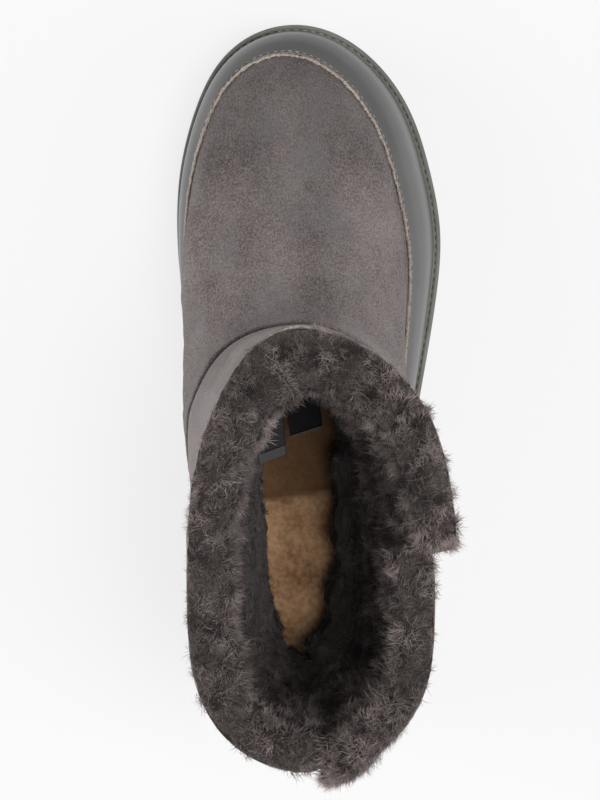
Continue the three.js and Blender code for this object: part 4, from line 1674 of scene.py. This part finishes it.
@dataclass
class Insole:
    """The honey-coloured fleece insole."""

    columns: int = 420
    across: int = 34
    inset: float = 16.8
    proud: float = 7
    round_: float = 2
    curls: tuple[tuple[float, float, int], ...] = ((0.55, 16, 81), (0.3, 6, 84), (0.15, 2.6, 87))
    curl_height: float = 0.9
    crease_y: float = 87
    crease_slant: float = 0.12
    crease_deep: float = 2.4
    crease_width: float = 1.8

    def past_crease(self, x: np.ndarray, y: np.ndarray) -> np.ndarray:
        """How far forward of the worn crease a point lies."""
        return y - self.crease_y - self.crease_slant * x

    def top(self, x: np.ndarray, y: np.ndarray) -> np.ndarray:
        """Height of the fleece, with its soft unevenness and one worn crease."""
        level = np.stack([x, y, np.zeros_like(x)], axis=-1)
        curls = sum(much * Waves(length, seed)(level) for much, length, seed in self.curls)
        crease = self.crease_deep * np.exp(-(self.past_crease(x, y) / self.crease_width) ** 2)
        return LAST.welt_top(y) + self.proud + self.curl_height * curls - crease

    def painted_insole_shade(self, x: np.ndarray, y: np.ndarray) -> np.ndarray:
        """Painted shade on the fleece, stored as "pale": slightly darker from the heel forward, darker
        before the crease, darkest in it.
        """
        past = self.past_crease(x, y)
        return 1 - 0.14 * smooth(35, 75, y) - 0.74 * smooth(-1, 2, past) - 0.4 * np.exp(-(past / 1.3) ** 2)

    def build(self) -> None:
        """Build the insole as one closed pad."""
        s = places_round(self.columns)
        under = LAST.rim_points(s, self.inset, -WELT_THICK)
        side = LAST.rim_points(s, self.inset, self.proud - self.round_)
        edge = LAST.rim_points(s, self.inset + self.round_, self.proud)
        low = (lambda x, y: LAST.welt_top(y) - WELT_THICK, 6)
        mesh = foot_block("insole_fleece", (under, side, edge), low, (self.top, self.across))
        # painted shade: the fleece darkens towards the front and in the crease
        store_pale(mesh, self.painted_insole_shade)
        BENCH.finish(mesh, FLEECE, Slot.INSOLE, "insole")


@dataclass(frozen=True)
class Label:
    """A blank cloth label inside the boot, a rectangle bent along a soft curve."""

    name: str
    corner: tuple[float, float, float]
    along: tuple[float, float, float]
    down: tuple[float, float, float]
    bow: float
    thick: float = 0.5
    steps: int = 14

    def build(self, finish: Weave) -> None:
        """Build the label as a thin closed cloth."""
        u, w = np.meshgrid(np.linspace(0, 1, self.steps), np.linspace(0, 1, self.steps))
        along, down = np.array(self.along, dtype=float), np.array(self.down, dtype=float)
        normal = unit(np.cross(along, down))
        bow = self.bow * (np.sin(np.pi * u) * 0.6 + np.sin(np.pi * w) * 0.4)
        face = np.array(self.corner) + u[..., None] * along + w[..., None] * down + bow[..., None] * normal
        points = np.concatenate([face, (face - normal * self.thick)[::-1]])
        BENCH.finish(slab_mesh(self.name, points), finish, Slot.LABEL)


LABELS = (
    (Label("label_grey", (-18.1, 119.6, 62), (10.4, 3.6, -6), (1, -19, -4), 1.5), LABEL_PALE),
    (Label("label_hem", (-17.3, 104.1, 59.6), (10.4, 3.6, -6), (0.2, -3.6, -0.6), 0.4), LABEL_HEM),
    (Label("label_dark", (-6.2, 125, 52), (12.6, 3.9, -3), (1, -14, -3), 1.0), LABEL_DARK),
    (Label("label_fold", (-5.2, 111, 49.6), (12.6, 3.9, -3), (0.1, -0.6, -0.1), 0.1), LABEL_HEM),
)


# ------------------------------------------------------------------ studio


@dataclass
class Studio:
    """A pale floor, soft light from the sides and above, and the camera straight overhead."""

    lens: float = 95.7
    sensor: float = 36
    camera_x: float = -1.07
    camera_y: float = 125.03
    camera_height: float = 880
    camera_roll: float = -0.01547
    floor_half: float = 9.0
    floor_colour: float = 0.15
    floor_glow: float = 0.745
    sky: float = 0.24
    backdrop: float = 0.92
    lit_height: float = 0.06
    soft_boxes: tuple[tuple[str, float, float, float, float, float], ...] = (
        ("left", 262, 20, 1.6, 1.0, 19.0),
        ("right", 80, 24, 1.6, 1.0, 12.0),
        ("heel", 350, 40, 1.6, 1.0, 5.0),
        ("top", 64, 75, 2.2, 1.0, 37.0),
    )

    def camera(self) -> None:
        """The camera, looking straight down."""
        data = bpy.data.cameras.new("camera")
        data.lens, data.sensor_width = self.lens, self.sensor
        made = bpy.data.objects.new("camera", data)
        spot = BENCH.place(np.array([[self.camera_x, self.camera_y, self.camera_height]]))[0]
        made.location = spot
        made.rotation_euler = (0, 0, self.camera_roll)
        bpy.context.scene.collection.objects.link(made)
        bpy.context.scene.camera = made

    def floor(self) -> None:
        """A wide pale floor that fades into the backdrop."""
        half = self.floor_half
        mesh = bpy.data.meshes.new("floor")
        corners = [(-half, -half, 0), (half, -half, 0), (half, half, 0), (-half, half, 0)]
        mesh.from_pydata(corners, [], [(0, 1, 2, 3)])
        finish = bpy.data.materials.new("pale_floor")
        finish.use_nodes = True
        tree = Tree(finish.node_tree)
        shader = tree.add("ShaderNodeBsdfPrincipled", {
            "Base Color": (self.floor_colour,) * 3 + (1,),
            "Roughness": 1.0,
            "Specular IOR Level": 0.0,
            "Emission Color": (1, 1, 1, 1),
            "Emission Strength": self.floor_glow,
        })
        tree.add("ShaderNodeOutputMaterial", {"Surface": shader.outputs[0]})
        BENCH.object("floor", mesh, finish)

    def world(self) -> None:
        """A soft even sky, with the pale backdrop where it is looked at."""
        made = bpy.data.worlds.new("studio")
        bpy.context.scene.world = made
        made.use_nodes = True
        tree = Tree(made.node_tree)
        path = tree.add("ShaderNodeLightPath").outputs["Is Camera Ray"]
        strength = tree.math("MULTIPLY_ADD", path, self.backdrop - self.sky, self.sky)
        glow = tree.add("ShaderNodeBackground", {"Color": (1, 1, 1, 1), "Strength": strength})
        tree.add("ShaderNodeOutputWorld", {"Surface": glow.outputs[0]})

    def lights(self) -> None:
        """Soft boxes round the boot: name, azimuth, height angle, distance, size and power."""
        for name, azimuth, height, distance, size, power in self.soft_boxes:
            data = bpy.data.lights.new(name, "AREA")
            data.shape, data.size, data.energy = "SQUARE", size, power
            made = bpy.data.objects.new(name, data)
            a, e = math.radians(azimuth), math.radians(height)
            back = np.array([math.sin(a) * math.cos(e), -math.cos(a) * math.cos(e), math.sin(e)])
            made.location = back * distance + (0, 0, self.lit_height)
            made.rotation_euler = Vector(-back).to_track_quat("-Z", "Y").to_euler()
            bpy.context.scene.collection.objects.link(made)

    def build(self) -> None:
        """Set up camera, floor, world and lights."""
        self.camera()
        self.floor()
        self.world()
        self.lights()
        bpy.context.scene.view_settings.view_transform = "Standard"


def main() -> None:
    """Build the boot piece by piece."""
    logging.basicConfig(level=logging.INFO, format="%(name)s %(message)s")
    BENCH.settle()
    Studio().build()
    for part in (Sole(), Rand(), Upper(), Shaft(), Lining(), Insole()):
        part.build()
    for label, finish in LABELS:
        label.build(finish)


if __name__ == "__main__":
    main()
